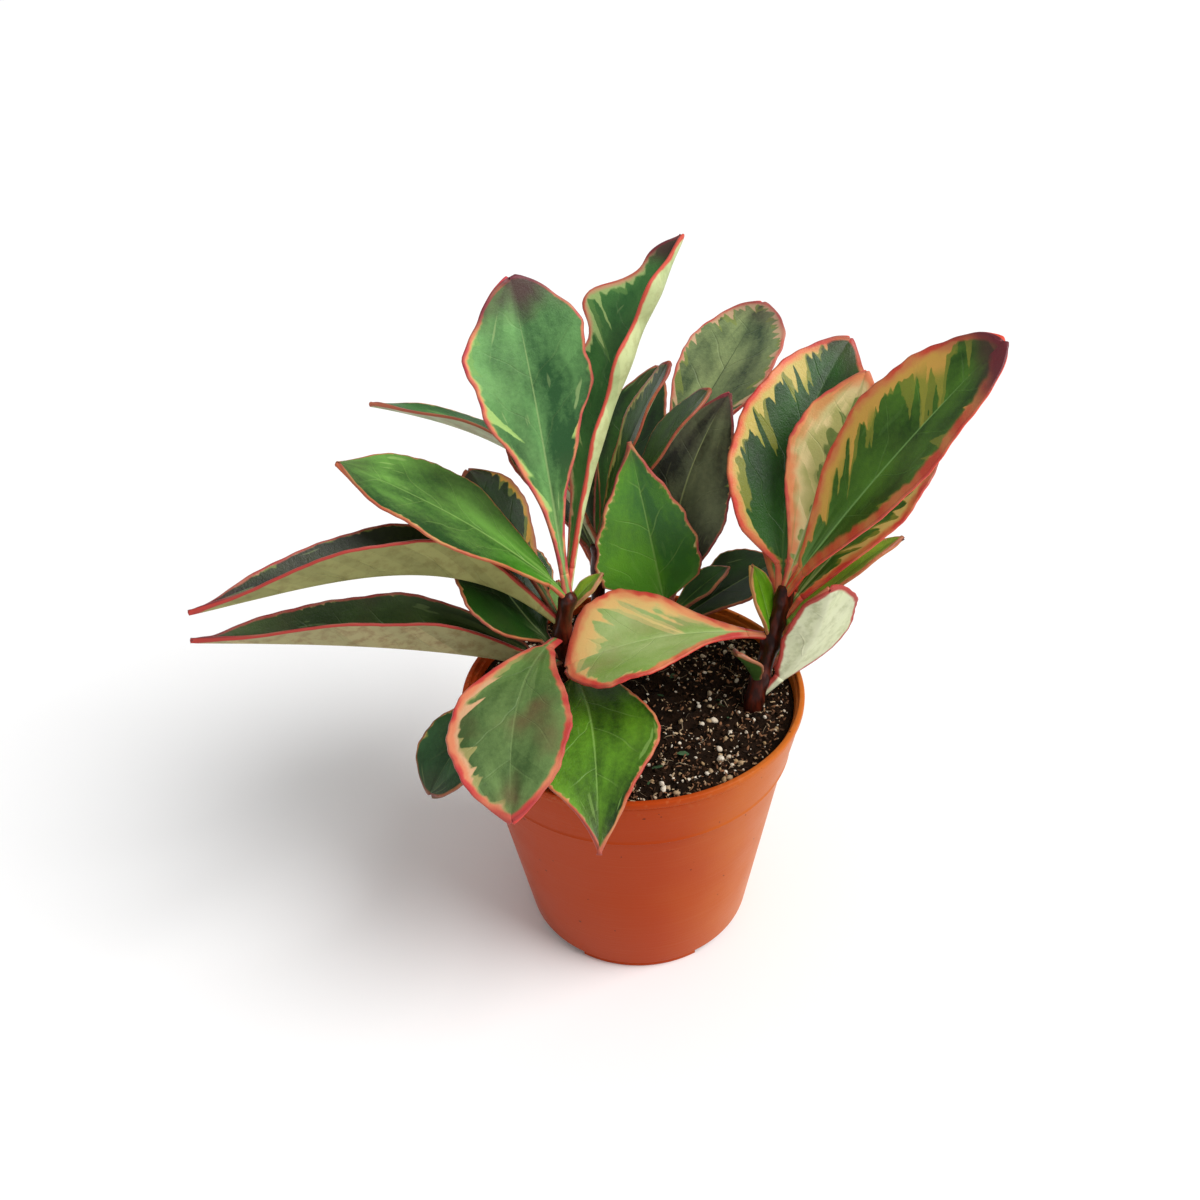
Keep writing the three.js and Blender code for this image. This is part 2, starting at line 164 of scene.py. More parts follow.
def join(target: bpy.types.Object, others: Sequence[bpy.types.Object]) -> None:
    """Joins the other meshes into the target."""
    select_only(target, *others)
    bpy.ops.object.join()


def hand_in(obj: bpy.types.Object, node: str, slot: str) -> None:
    """Puts a finished piece on the root and hides the CAD node that it replaces, logging its finish.

    Args:
        obj: the finished piece.
        node: name of the CAD node that it replaces.
        slot: name of its finish.
    """
    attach(obj, "root")
    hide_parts(node)
    LOG.info("%s: %d faces, finish %s", node, len(obj.data.polygons), slot)


def lerp(a: Union[float, np.ndarray], b: Union[float, np.ndarray], t: np.ndarray) -> np.ndarray:
    """The mix of a and b at t."""
    return a + (b - a) * t


def unit_rows(rows: np.ndarray) -> np.ndarray:
    """The rows scaled to a length of one."""
    return rows / np.maximum(np.linalg.norm(rows, axis=-1, keepdims=True), 1e-9)


def angles_round(count: int) -> np.ndarray:
    """Evenly spaced angles round a circle, in radians."""
    return np.arange(count) * 2 * np.pi / count


# ------------------------------------------------------------- materials


def linear(hex_colour: str) -> Colour:
    """An sRGB hex colour as linear RGBA.

    Args:
        hex_colour: the colour as #rrggbb.

    Returns:
        Red, green, blue and alpha, from 0 to 1.
    """
    channels = [int(hex_colour[i : i + 2], 16) / 255 for i in (1, 3, 5)]
    low = [c / 12.92 if c <= 0.04045 else ((c + 0.055) / 1.055) ** 2.4 for c in channels]
    return (*low, 1.0)


class Field:
    """A value in a material's node tree. Arithmetic with it adds Math nodes."""

    def __init__(self, graph: "Graph", socket: bpy.types.NodeSocket) -> None:
        """Keeps the output socket that the value comes from."""
        self.graph = graph
        self.socket = socket

    def __add__(self, other: Value) -> "Field":
        """The sum."""
        return self.graph.math("ADD", self, other)

    def __sub__(self, other: Value) -> "Field":
        """The difference."""
        return self.graph.math("SUBTRACT", self, other)

    def __rsub__(self, other: Value) -> "Field":
        """The difference from a plain number."""
        return self.graph.math("SUBTRACT", other, self)

    def __mul__(self, other: Value) -> "Field":
        """The product."""
        return self.graph.math("MULTIPLY", self, other)

    def __truediv__(self, other: Value) -> "Field":
        """The quotient."""
        return self.graph.math("DIVIDE", self, other)

    def __pow__(self, power: Value) -> "Field":
        """The power."""
        return self.graph.math("POWER", self, power)

    def __abs__(self) -> "Field":
        """The value without its sign."""
        return self.graph.math("ABSOLUTE", self)

    def step(self, low: Value, high: Value, to_low: float = 0.0, to_high: float = 1.0) -> "Field":
        """A soft step that goes from to_low where this is low to to_high where it is high."""
        inputs = {"Value": self, "From Min": low, "From Max": high, "To Min": to_low, "To Max": to_high}
        return self.graph.add("MapRange", inputs, interpolation_type="SMOOTHSTEP")


class Graph:
    """One material's node tree, built by small calls that take fields, numbers or hex colours."""

    def __init__(self, name: str) -> None:
        """Starts a material with a plain shader.

        Args:
            name: name of the material.
        """
        self.material = bpy.data.materials.new(name)
        self.material.use_nodes = True
        self.tree = self.material.node_tree
        self.tree.nodes.clear()
        self.shader = self.tree.nodes.new("ShaderNodeBsdfPrincipled")
        output = self.tree.nodes.new("ShaderNodeOutputMaterial")
        self.tree.links.new(self.shader.outputs["BSDF"], output.inputs["Surface"])

    def feed(self, socket: bpy.types.NodeSocket, value: Value) -> None:
        """Links a field to the input, or sets a plain value on it.

        Args:
            socket: the input.
            value: what it gets.
        """
        if isinstance(value, Field):
            self.tree.links.new(value.socket, socket)
        else:
            socket.default_value = linear(value) if isinstance(value, str) else value

    def add(
        self, kind: str, inputs: dict[Union[int, str], Value], output: Union[int, str] = 0, **settings: object
    ) -> Field:
        """Adds one node.

        Args:
            kind: the node's type, without ShaderNode before it.
            inputs: its inputs by name or index.
            output: name or index of the output that is wanted.
            settings: the node's own settings.

        Returns:
            The output as a field.
        """
        node = self.tree.nodes.new("ShaderNode" + kind)
        for key, value in settings.items():
            setattr(node, key, value)
        for key, value in inputs.items():
            self.feed(node.inputs[key], value)
        return Field(self, node.outputs[output])

    def math(self, operation: str, *values: Value, clamp: bool = False) -> Field:
        """A number made from others."""
        return self.add("Math", dict(enumerate(values)), operation=operation, use_clamp=clamp)

    def mix(self, factor: Value, a: Value, b: Value) -> Field:
        """A mix of two colours."""
        return self.add("Mix", {0: factor, 6: a, 7: b}, output=2, data_type="RGBA")

    def number(self, factor: Value, a: Value, b: Value) -> Field:
        """A mix of two numbers."""
        return self.add("Mix", {0: factor, 2: a, 3: b}, data_type="FLOAT")

    def attribute(self, name: str) -> Field:
        """A number stored on the mesh."""
        return self.add("Attribute", {}, output="Fac", attribute_name=name)

    def vector(self, x: Value, y: Value, z: Value = 0.0) -> Field:
        """A vector from three numbers."""
        return self.add("CombineXYZ", {0: x, 1: y, 2: z})

    def noise(self, vector: Value, scale: float = 1.0, detail: float = 2.0, roughness: float = 0.5) -> Field:
        """Smooth noise from 0 to 1."""
        return self.add("TexNoise", {"Vector": vector, "Scale": scale, "Detail": detail, "Roughness": roughness})

    def cell(self, value: Field, seed: float) -> Field:
        """A random number that stays the same over each whole step of a value."""
        whole = self.math("FLOOR", value)
        return self.add("TexWhiteNoise", {"Vector": self.vector(whole, seed)}, noise_dimensions="2D")

    def place_mm(self) -> Field:
        """The object's own coordinates in millimetres."""
        place = self.add("TexCoord", {}, output="Object")
        return self.add("VectorMath", {0: place, "Scale": 1 / MM}, operation="SCALE")

    def stretched(self, place: Field, factors: Sequence[float]) -> Field:
        """A place with each of its axes scaled."""
        return self.add("VectorMath", {0: place, 1: factors}, operation="MULTIPLY")

    def bump(self, height_mm: Value) -> None:
        """Relief of a height in millimetres."""
        relief = self.add("Bump", {"Height": height_mm, "Distance": MM, "Strength": 1.0})
        self.feed(self.shader.inputs["Normal"], relief)

    def finish(self, **values: Value) -> bpy.types.Material:
        """Sets the shader's own inputs, named with underscores for spaces.

        Args:
            values: the inputs and what they get.

        Returns:
            The material.
        """
        for key, value in values.items():
            self.feed(self.shader.inputs[key.replace("_", " ")], value)
        return self.material


# ------------------------------------------------------------ leaf finish


@dataclass(frozen=True)
class LeafFinish:
    """Colours and pattern of one leaf. Widths are in mm, and pairs are for the left and right half.

    Attributes:
        green, light: the two greens of the blade's middle.
        cream, olive, peach: the zone along the margin, its faint inner part and its outer part.
        coral, flush: the margin's line, and the maroon at the tip.
        vein, foot: the rib, veins and dashes, and the green near the stalk.
        under, stain: the two colours of the lower face.
        margin, cream_width: widths of the margin's line and of the cream zone.
        flame, finger: reach and width of the cream fingers.
        soft: half the width of the cream zone's edge.
        flecks, streaks: strength of green flecks in the cream, and of pale dashes in the green.
        blush, tip: strength of the maroon over the blade, and at the tip.
        halves: how much lighter the left half is painted than the right, as painted sheen where light falls on it.
        tip_cream: share of the cream zone that is left at the tip.
        rib, veins: strength of the rib's line and of the side veins.
        rough, bloom: roughness of the wax, and the pale bloom on it.
    """

    green: str = "#2f5a26"
    light: str = "#4c7c3a"
    cream: str = "#e0c98c"
    olive: str = "#8c9a45"
    peach: str = "#df9160"
    coral: str = "#cf5340"
    flush: str = "#4a2a2c"
    vein: str = "#a9c07c"
    foot: str = "#5c9228"
    under: str = "#b4b98c"
    stain: str = "#a98a68"
    margin: tuple[float, float] = (0.9, 0.9)
    cream_width: tuple[float, float] = (0.4, 0.4)
    flame: float = 1.5
    soft: float = 0.25
    finger: float = 5.0
    flecks: float = 0.0
    streaks: float = 0.2
    blush: float = 0.2
    tip: float = 0.5
    halves: float = 0.0
    tip_cream: float = 0.3
    rib: float = 0.36
    veins: float = 0.05
    rough: float = 0.38
    bloom: float = 0.0


# The families that the leaves' finishes start from
PLAIN = LeafFinish()
DARK = LeafFinish(
    green="#102806", light="#2f5a18", foot="#1f4c10", peach="#bd7a4c", coral="#a2533a", margin=(0.6, 0.6),
    tip=0.3, rib=0.3, rough=0.34,
)
DUSKY = LeafFinish(
    green="#141a05", light="#313c17", foot="#344a18", peach="#b06a54", coral="#a83a32", margin=(0.7, 0.7),
    blush=0.5, tip=0.6, rib=0.4, rough=0.36, under="#a3a57a", stain="#7d6a52",
)
VIVID = LeafFinish(
    green="#164208", light="#6ca141", foot="#4f9a1e", peach="#cf8a58", coral="#c9503a", margin=(0.6, 0.6),
    cream_width=(0.5, 0.5), tip=0.3, streaks=0.35, vein="#a5cc6e", veins=0.16, rough=0.36,
)
SATIN = LeafFinish(
    green="#234d16", light="#7ea262", coral="#c0424a", flame=2.5, streaks=0.5, tip=0.9, blush=0.25, rough=0.42,
    bloom=0.5,
)
FLAME = LeafFinish(
    green="#224806", light="#528028", foot="#2f6a14", cream="#deac50", olive="#9c9a38", peach="#e08a52",
    coral="#d84a3a", margin=(1.6, 1.6), cream_width=(4.4, 1.2), flame=8.5, finger=7.0, tip=0.9, rib=0.55,
    veins=0.12, rough=0.34,
)
PALE = LeafFinish(
    green="#92aa5a", light="#c0cd90", foot="#a6cc4c", vein="#cfe0a0", cream="#e9c060", olive="#cfc06a",
    peach="#ef9560", coral="#dc463c", margin=(2.0, 2.0), cream_width=(0.6, 4.6), flame=7.0, finger=7.0, tip=0.1,
    tip_cream=1.9, rib=0.5, rough=0.4, under="#d9d3a4",
)

FINISHES: dict[str, LeafFinish] = {
    "leaf_left_1": replace(
        SATIN, green="#1c4c1e", light="#6fa45c", foot="#7bab45", cream="#a2c46e", olive="#7aa652",
        cream_width=(1.3, 0.2), flame=5.0, finger=9.0, soft=0.5, bloom=0.25, halves=0.5, rib=0.35,
    ),
    "leaf_left_2": replace(
        SATIN, green="#2c622c", light="#558e46", cream="#a9c478", olive="#6f9c50", peach="#dba07c",
        cream_width=(2.0, 0.3), flame=4.5, finger=6.0, soft=0.45, coral="#c9503f", bloom=0.2, rib=0.3,
        under="#cfd69c", stain="#b3b67e",
    ),
    "leaf_left_3": replace(VIVID, coral="#bd6340", peach="#c48a52", halves=-0.4, streaks=0.5),
    "leaf_left_4": replace(
        DARK, green="#051900", light="#204808", cream="#cf9a34", cream_width=(0.3, 1.8), flame=3.0,
    ),
    "leaf_left_5": replace(DUSKY, under="#a6a468", stain="#8c8450"),
    "leaf_left_6": replace(DUSKY, green="#263a16", light="#465c2c", under="#b3a878", stain="#8d7048"),
    "leaf_left_7": replace(DARK, green="#0b2c03", light="#1e4a09", rib=0.5),
    "leaf_left_8": replace(
        SATIN, green="#375223", light="#728f50", foot="#5c8a34", peach="#dd8660", cream="#d3a57c", olive="#b5a868",
        coral="#c9423c", margin=(2.0, 1.7), cream_width=(0.3, 3.0), flame=5.0, finger=9.0, blush=1.0, tip=0.2,
        bloom=0.15, rib=0.16, streaks=0.2, soft=0.6, flush="#6a3a30",
    ),
    "leaf_left_9": replace(
        VIVID, green="#123300", light="#669c22", foot="#2f6a0a", cream="#d9b878", coral="#c2513a",
        margin=(0.7, 0.7), flame=2.5, rib=0.35, halves=-0.35,
    ),
    "leaf_left_10": replace(DARK, green="#113811", light="#416b40", foot="#2c5a34", coral="#6d4a32"),
    "leaf_left_11": replace(VIVID, green="#4a7a1c", light="#7da63a", cream="#c9b058", margin=(0.4, 0.4)),
    "leaf_left_12": replace(
        VIVID, green="#4a7a0c", light="#86a428", cream="#d9c98c", coral="#b08a5a", margin=(0.4, 0.4),
    ),
    "leaf_back_1": replace(VIVID, green="#0c3606", light="#31701f", coral="#b5654a"),
    "leaf_back_2": DARK,
    "leaf_back_3": replace(DARK, light="#3e6a20", cream="#c9c06a", cream_width=(2.0, 0.5), flame=3.0),
    "leaf_back_4": replace(
        SATIN, green="#344a2c", light="#a0b274", foot="#8fa85a", coral="#cf5548", cream="#d8b48c", peach="#dc9478",
        cream_width=(0.9, 0.9), flame=6.0, tip=0.45, tip_cream=1.5, vein="#2f4224", rib=0.7,
    ),
    "leaf_back_5": replace(DARK, green="#224306", light="#4f7a20"),
    "leaf_back_6": PLAIN,
    "leaf_back_7": replace(DUSKY, cream_width=(1.2, 0.6)),
    "leaf_middle_1": replace(
        VIVID, green="#33662a", light="#5d9a26", coral="#b9544a", cream="#c9cf8c", flame=3.0, halves=0.9,
        veins=0.2, streaks=0.15, rib=0.3,
    ),
    "leaf_middle_2": replace(
        DUSKY, green="#272a1f", light="#828a66", foot="#4a5034", coral="#a63c44", vein="#b9c286", rib=0.7,
        flame=2.6, flush="#3c262c",
    ),
    "leaf_middle_3": replace(VIVID, green="#244a1e", light="#3c6a2a", coral="#a86a4c", margin=(0.4, 0.4)),
    "leaf_middle_4": replace(DARK, green="#13260a", light="#1f4312"),
    "leaf_middle_5": DARK,
    "leaf_middle_6": PLAIN,
    "leaf_right_1": replace(
        PALE, green="#84a84c", light="#b7c886", foot="#93c440", cream="#f0c47c", olive="#e2cc84", peach="#f2a06a",
        margin=(2.5, 2.3), cream_width=(1.0, 5.4), flame=5.5, finger=9.0, soft=0.8, rib=0.3, blush=0.6,
        flush="#a97f6a",
    ),
    "leaf_right_2": replace(
        FLAME, green="#0f2b04", light="#275713", cream="#c6b05a", cream_width=(3.4, 0.3), vein="#5c7c3c", rib=0.3,
        tip=0.35, tip_cream=0.05, streaks=0.35,
    ),
    "leaf_right_3": replace(
        PALE, green="#5c6e34", light="#909f50", cream="#ecd69a", olive="#b4b06a", cream_width=(10.0, 4.0),
        flame=4.0, flecks=0.3, coral="#d6564a", margin=(1.2, 1.2), tip_cream=1.0, vein="#c9cf9a",
    ),
    "leaf_right_4": replace(
        FLAME, light="#588826", coral="#dd4d38", vein="#86b464", margin=(1.7, 4.6), cream_width=(5.0, 1.2),
        rib=0.7,
    ),
    "leaf_right_5": replace(FLAME, cream="#e0c070", cream_width=(1.5, 3.0), flame=3.0),
    "leaf_right_6": replace(
        VIVID, green="#6f9a2e", light="#a8bc40", cream="#d4cc62", cream_width=(1.4, 1.4), coral="#b0693e",
        margin=(0.35, 0.35), under="#a9b65a", stain="#8a9a44",
    ),
    "leaf_right_7": replace(
        PALE, under="#d3d6b4", stain="#a3a780", coral="#a83e34", margin=(1.5, 1.5), cream_width=(2.0, 2.0),
    ),
    "leaf_right_8": replace(
        VIVID, green="#558f0e", light="#83bb24", cream="#cfcf5c", coral="#b98a4c", margin=(0.35, 0.35),
        cream_width=(0.6, 0.6), flame=1.0, tip=0.2,
    ),
    "leaf_right_9": replace(
        VIVID, green="#38611c", light="#5a8a30", coral="#8a5a3a", under="#3c5c26", stain="#4c6c30",
        margin=(0.4, 0.4),
    ),
    "leaf_right_10": replace(FLAME, cream_width=(2.0, 2.0)),
    "leaf_right_11": replace(PLAIN, cream_width=(1.5, 0.6)),
}


class LeafFace:
    """What a leaf's two faces share: places on the blade, sectors, fingers, side veins and margin.

    The mesh stores the distance across from the rib, the place along the blade and the distance to the
    outline, in mm. Salts and shifts of the seed keep the patterns apart from one another.
    """

    SLANT = (1.75, 0.7)
    VEIN_GAP = 17.0
    VEIN_BEND = 26.0
    HALF_SHIFT = 83.0
    SECTOR_WARP = 1.6
    BROAD_SECTORS = (7.0, 3.1)
    POINT_POWER = 3.2

    def __init__(self, name: str, finish: LeafFinish, seed: float, length: float) -> None:
        """Reads the blade's attributes.

        Args:
            name: name of the material.
            finish: the leaf's colours and pattern.
            seed: keeps this leaf's pattern apart from the others'.
            length: length of the leaf in mm.
        """
        self.graph = g = Graph(name)
        self.finish = finish
        self.seed = seed
        self.across = g.attribute("across")
        self.along = g.attribute("along")
        self.rim = g.attribute("rim")
        self.side = abs(self.across)
        self.on_left = g.math("GREATER_THAN", self.across, 0.0)
        self.reach = self.along / length
        # Side veins run outwards and towards the tip, so this is the same all along one of them
        slant = self.reach * (self.SLANT[0] - self.SLANT[1]) - self.SLANT[0]
        self.vein_line = self.on_left * self.HALF_SHIFT + (self.side * slant + self.along)
        self.flat = g.vector(self.across, self.along, seed)
        # From -1 at the right margin over 0 at the rib to 1 at the left, so its lines meet at the base
        self.fan = self.across / (self.side + self.rim + 0.05)

    def by_side(self, pair: tuple[float, float]) -> Field:
        """The number for the half of the blade, from a pair for left and right."""
        return self.graph.number(self.on_left, pair[1], pair[0])

    def along_margin(self, scale: float, shift: float) -> Field:
        """A place that changes only along the blade and from half to half."""
        return self.graph.vector(self.along * scale, self.on_left, self.seed + shift)

    def sectors(self, width: float, salt: float) -> Field:
        """A place that grows by one over each sector, of uneven widths about the given one.

        Args:
            width: mean width of a sector in mm.
            salt: keeps this pattern apart from others.

        Returns:
            The place.
        """
        g = self.graph
        warp = g.noise(g.vector(self.vein_line * 0.11, self.seed + salt), detail=1.0)
        ragged = g.noise(self.flat, scale=0.35, detail=2.0)
        return ragged * (self.SECTOR_WARP / width) + (warp * self.SECTOR_WARP + self.vein_line / width)

    def fingers(self, width: float, salt: float, power: float) -> Field:
        """Pointed fingers with round bays between, from 0 to 1, each of a random reach.

        Args:
            width: mean width of a finger in mm.
            salt: keeps this pattern apart from others.
            power: the higher it is, the rarer are long fingers.

        Returns:
            The share of the full reach.
        """
        g = self.graph
        place = self.sectors(width, salt)
        reach = g.cell(place, self.seed + salt) ** power
        inside = 1.0 - abs(g.math("FRACT", place) * 2.0 - 1.0)
        arc = g.math("SQRT", 1.0 - inside * inside)
        return reach * (1.0 - arc**self.POINT_POWER)

    def margin_mask(self) -> Field:
        """The coral line along the margin.

        Returns:
            1 on the line and 0 inside it.
        """
        wander = self.graph.noise(self.along_margin(0.16, 0.0), detail=2.0)
        width = wander * 2.0 * self.by_side(self.finish.margin)
        return self.rim.step(width * 0.65, width * 1.1 + 0.25, 1.0, 0.0)

    def side_veins(self) -> Field:
        """Fine lines along the side veins.

        Returns:
            1 on a line and 0 beside it.
        """
        g = self.graph
        place = g.noise(self.along_margin(0.05, 9.0)) * self.VEIN_BEND + self.vein_line
        off = g.math("PINGPONG", place, self.VEIN_GAP / 2)
        return off.step(0.1, 0.55, 1.0, 0.0) * self.rim.step(2.0, 9.0)


class UpperFace(LeafFace):
    """Waxy upper face: green centre, cream fingers, coral margin, pale rib and side veins."""

    MARGIN_EDGE = "#8f2c34"
    MARGIN_TIP = "#5d2230"
    # How fine the noise of each is across the blade and along it
    CLOUDS = (1.5, 0.03)
    RAYS = (5.0, 0.012)
    DASHES = (5.5, 0.05)
    # Factor on the fingers' width, salt, power of their random reach and factor on it
    FINGERS = {"long": (1.0, 0.0, 1.5, 1.5), "short": (0.5, 4.4, 1.3, 0.4), "far": (1.3, 7.7, 1.4, 1.5)}

    def drawn(self, grain: tuple[float, float], shift: float = 0.0) -> Field:
        """A place whose noise is drawn out along the blade."""
        return self.graph.vector(self.fan * grain[0], self.along * grain[1], self.seed + shift)

    def dashes(self, scale: float, low: float, high: float) -> Field:
        """Short thin dashes along the blade, from the noise between two limits."""
        return self.graph.noise(self.drawn(self.DASHES), scale=scale, detail=2.0).step(low, high)

    def greens(self, mottle: Field) -> Field:
        """Two greens in long clouds, with fine mottling, faint sectors, and one half painted lighter as painted
        sheen.

        Args:
            mottle: fine noise over the blade.

        Returns:
            The colour.
        """
        g, finish = self.graph, self.finish
        clouds = g.noise(self.drawn(self.CLOUDS), detail=3.0)
        sector = g.cell(self.sectors(*self.BROAD_SECTORS), self.seed) * 0.14 - 0.07
        # Painted sheen: one half of the blade is made lighter, where light falls on it
        half = self.across.step(-4.0, 4.0, -0.5, 0.5) * finish.halves
        tone = clouds * 2.6 + (mottle * 0.75 - 1.22)
        return g.mix(g.math("ADD", tone, sector + half, clamp=True), finish.green, finish.light)

    def with_foot(self, colour: Field) -> Field:
        """The foot of the blade: brighter green, with pale rays that meet at the stalk.

        Args:
            colour: the colour so far.

        Returns:
            The colour with the foot painted over it.
        """
        g, finish = self.graph, self.finish
        foot = self.reach.step(0.05, 0.5, 0.75, 0.0) * self.side.step(0.0, 7.0, 0.5, 1.0)
        colour = g.mix(foot, colour, finish.foot)
        ray = g.noise(self.drawn(self.RAYS, 2.0), detail=2.0) + self.side.step(0.0, 5.0, 0.14, 0.0)
        ray = ray.step(0.52, 0.66) * self.reach.step(0.12, 0.42, 0.85, 0.0)
        return g.mix(ray * finish.rib, colour, finish.vein)

    def with_cream(self, colour: Field) -> tuple[Field, Field]:
        """The cream zone: an uneven band inside the margin, with fingers along the side veins.

        Args:
            colour: the colour so far.

        Returns:
            The colour with the zone painted over it, and the zone's mask.
        """
        g, finish = self.graph, self.finish
        width = self.by_side(finish.cream_width)
        swell = g.noise(g.vector(self.vein_line * 0.06, self.seed + 5.0), detail=1.0)
        swell = self.reach.step(0.12, 0.5, 0.3, 1.0) * (swell * 2.0)
        swell = self.reach.step(0.8, 0.98, 1.0, finish.tip_cream) * swell
        ripple = (g.noise(self.flat, scale=0.5, detail=3.0) - 0.5) * (0.8 + 0.12 * finish.flame)
        bite = g.noise(self.flat, scale=0.17, detail=1.0) - 0.5
        ripple = bite * (width * 0.9 + 0.5) + ripple
        strength = width.step(0.0, 3.0, 0.3, 1.0) * finish.flame
        strength = self.reach.step(0.78, 0.96, 1.0, finish.tip_cream) * strength
        strength = self.reach.step(0.15, 0.55, 0.15, 1.0) * strength
        fingers = {
            kind: self.fingers(finish.finger * factor, salt, power) * (strength * reach)
            for kind, (factor, salt, power, reach) in self.FINGERS.items()
        }
        edge = self.rim - (width * swell + (fingers["long"] + fingers["short"])) + ripple
        mask = edge.step(-finish.soft, finish.soft, 1.0, 0.0)
        olive = (edge - fingers["far"]).step(-0.4, 0.4, 1.0, 0.0)
        colour = g.mix(olive * 0.6, colour, finish.olive)

        # Within the zone: peach next to the margin, then cream, with olive patches further in
        inward = ripple * 0.8 + (self.rim - self.by_side(finish.margin))
        patch = g.cell(self.sectors(5.0, 6.6), self.seed) * 6.0 - 4.8
        zone = g.mix((inward + patch).step(3.0, 8.0), finish.cream, finish.olive)
        zone = g.mix(inward.step(0.0, width * 0.35 + 0.8, 1.0, 0.0), zone, finish.peach)
        zone = g.mix(self.dashes(0.8, 0.56, 0.62) * finish.flecks, zone, finish.light)
        return g.mix(mask, colour, zone), mask

    def rib_mask(self) -> Field:
        """The rib's line, which thins towards the tip."""
        width = self.reach.step(0.1, 1.0, 0.75, 0.25)
        return self.side.step(width * 0.4, width, 1.0, 0.0) * self.reach.step(0.75, 0.95, 1.0, 0.0)

    def margin_line(self, flush: Field) -> Field:
        """The margin line's colour: coral and peach, dark at its edge and maroon at the tip.

        Args:
            flush: strength of the maroon.

        Returns:
            The colour.
        """
        g, finish = self.graph, self.finish
        warm = g.noise(self.along_margin(0.09, 30.0), detail=2.0).step(0.4, 0.65)
        line = g.mix(warm, finish.coral, finish.peach)
        line = g.mix(self.rim.step(0.0, 0.6 * finish.margin[0], 0.45, 0.0), line, self.MARGIN_EDGE)
        return g.mix(flush, line, self.MARGIN_TIP)

    def material(self) -> bpy.types.Material:
        """Paints the face from its greens out to the margin, and gives it its wax.

        Returns:
            The material.
        """
        g, finish = self.graph, self.finish
        mottle = g.noise(self.flat, scale=0.6, detail=5.0, roughness=0.75)
        veins = self.side_veins()
        colour = self.with_foot(self.greens(mottle))
        streaks = self.dashes(1.0, 0.655, 0.69) * self.rim.step(1.0, 12.0, 1.0, 0.4)
        colour = g.mix(streaks * finish.streaks, colour, finish.vein)
        colour, cream = self.with_cream(colour)

        # Maroon flush at the tip and as a shade over the green
        shade = g.noise(g.vector(self.across * 0.06, self.along * 0.05, self.seed + 20.0))
        flush = (shade * 0.3 + self.reach).step(0.99, 1.13) * finish.tip
        body = shade.step(0.45, 0.75) * (finish.blush * 0.6) * (cream * -0.8 + 1.0)
        colour = g.mix(g.math("MAXIMUM", flush, body), colour, finish.flush)
        colour = g.mix(veins * finish.veins, colour, finish.vein)
        colour = g.mix(self.rib_mask() * finish.rib, colour, finish.vein)
        colour = g.mix(self.margin_mask(), colour, self.margin_line(flush))

        # Wax: a fine grain and faint quilting between the veins
        grain = g.noise(self.flat, scale=1.6, detail=4.0, roughness=0.6)
        g.bump(mottle * 0.16 + (veins * -0.1 + grain * 0.1))
        patchy = g.noise(g.vector(self.across, self.along, self.seed + 3.0), scale=0.12, detail=2.0)
        return g.finish(
            Base_Color=colour, Roughness=patchy * 0.14 + (finish.rough - 0.06), IOR=1.42,
            Specular_IOR_Level=0.42, Sheen_Weight=finish.bloom * 0.3, Sheen_Roughness=0.5,
        )


class UnderFace(LeafFace):
    """Matt lower face: pale, mottled, with a raised rib and the same coral margin."""

    def material(self) -> bpy.types.Material:
        """Paints the face.

        Returns:
            The material.
        """
        g, finish = self.graph, self.finish
        mottle = g.noise(self.flat, scale=0.22, detail=5.0, roughness=0.65)
        colour = g.mix(mottle.step(0.42, 0.68, 0.0, 0.7), finish.under, finish.stain)
        sector = g.cell(self.sectors(*self.BROAD_SECTORS), self.seed)
        colour = g.mix(sector * 0.3, colour, finish.light)
        colour = g.mix(self.side.step(0.4, 1.6, 0.6, 0.0), colour, finish.under)
        colour = g.mix(self.margin_mask(), colour, finish.coral)
        g.bump(self.side_veins() * 0.12 + mottle * 0.12)
        return g.finish(Base_Color=colour, Roughness=0.5, IOR=1.42, Specular_IOR_Level=0.3)


# ------------------------------------------------------------------ leaves


@dataclass(frozen=True)
class LeafForm:
    """Form of one leaf, by the same rules as the CAD source. Lengths in mm, angles in degrees.

    Attributes:
        node: the stem and the height at which the leaf grows.
        aim: azimuth and lift of the tip.
        size: length and width.
        roll: turn about the length.
        arch, sway: shares of the length by which the rib leaves its chord, up and to the left.
        fold, curl: slope of each half at the rib, and its further bend, left and right.
        lean: share of the width that moves to the left half.
        widest, taper, blunt: where the blade is widest, and how it narrows to base and tip.
        lobe, lobes: depth and number of the margin's lobes.
        wave, phase: height of the margin's waves, and where lobes and waves start.
        stalk: length of the stalk.
    """

    node: tuple[str, float]
    aim: tuple[float, float]
    size: tuple[float, float]
    roll: float = 0.0
    arch: tuple[float, float] = (0.05, 0.05)
    sway: tuple[float, float] = (0.0, 0.0)
    fold: tuple[float, float] = (14.0, 14.0)
    curl: tuple[float, float] = (0.0, 0.0)
    lean: float = 0.0
    widest: float = 0.64
    taper: float = 1.1
    blunt: tuple[float, float] = (0.8, 0.8)
    lobe: float = 0.03
    lobes: float = 5.0
    wave: float = 0.8
    phase: float = 0.0
    stalk: float = 9.0


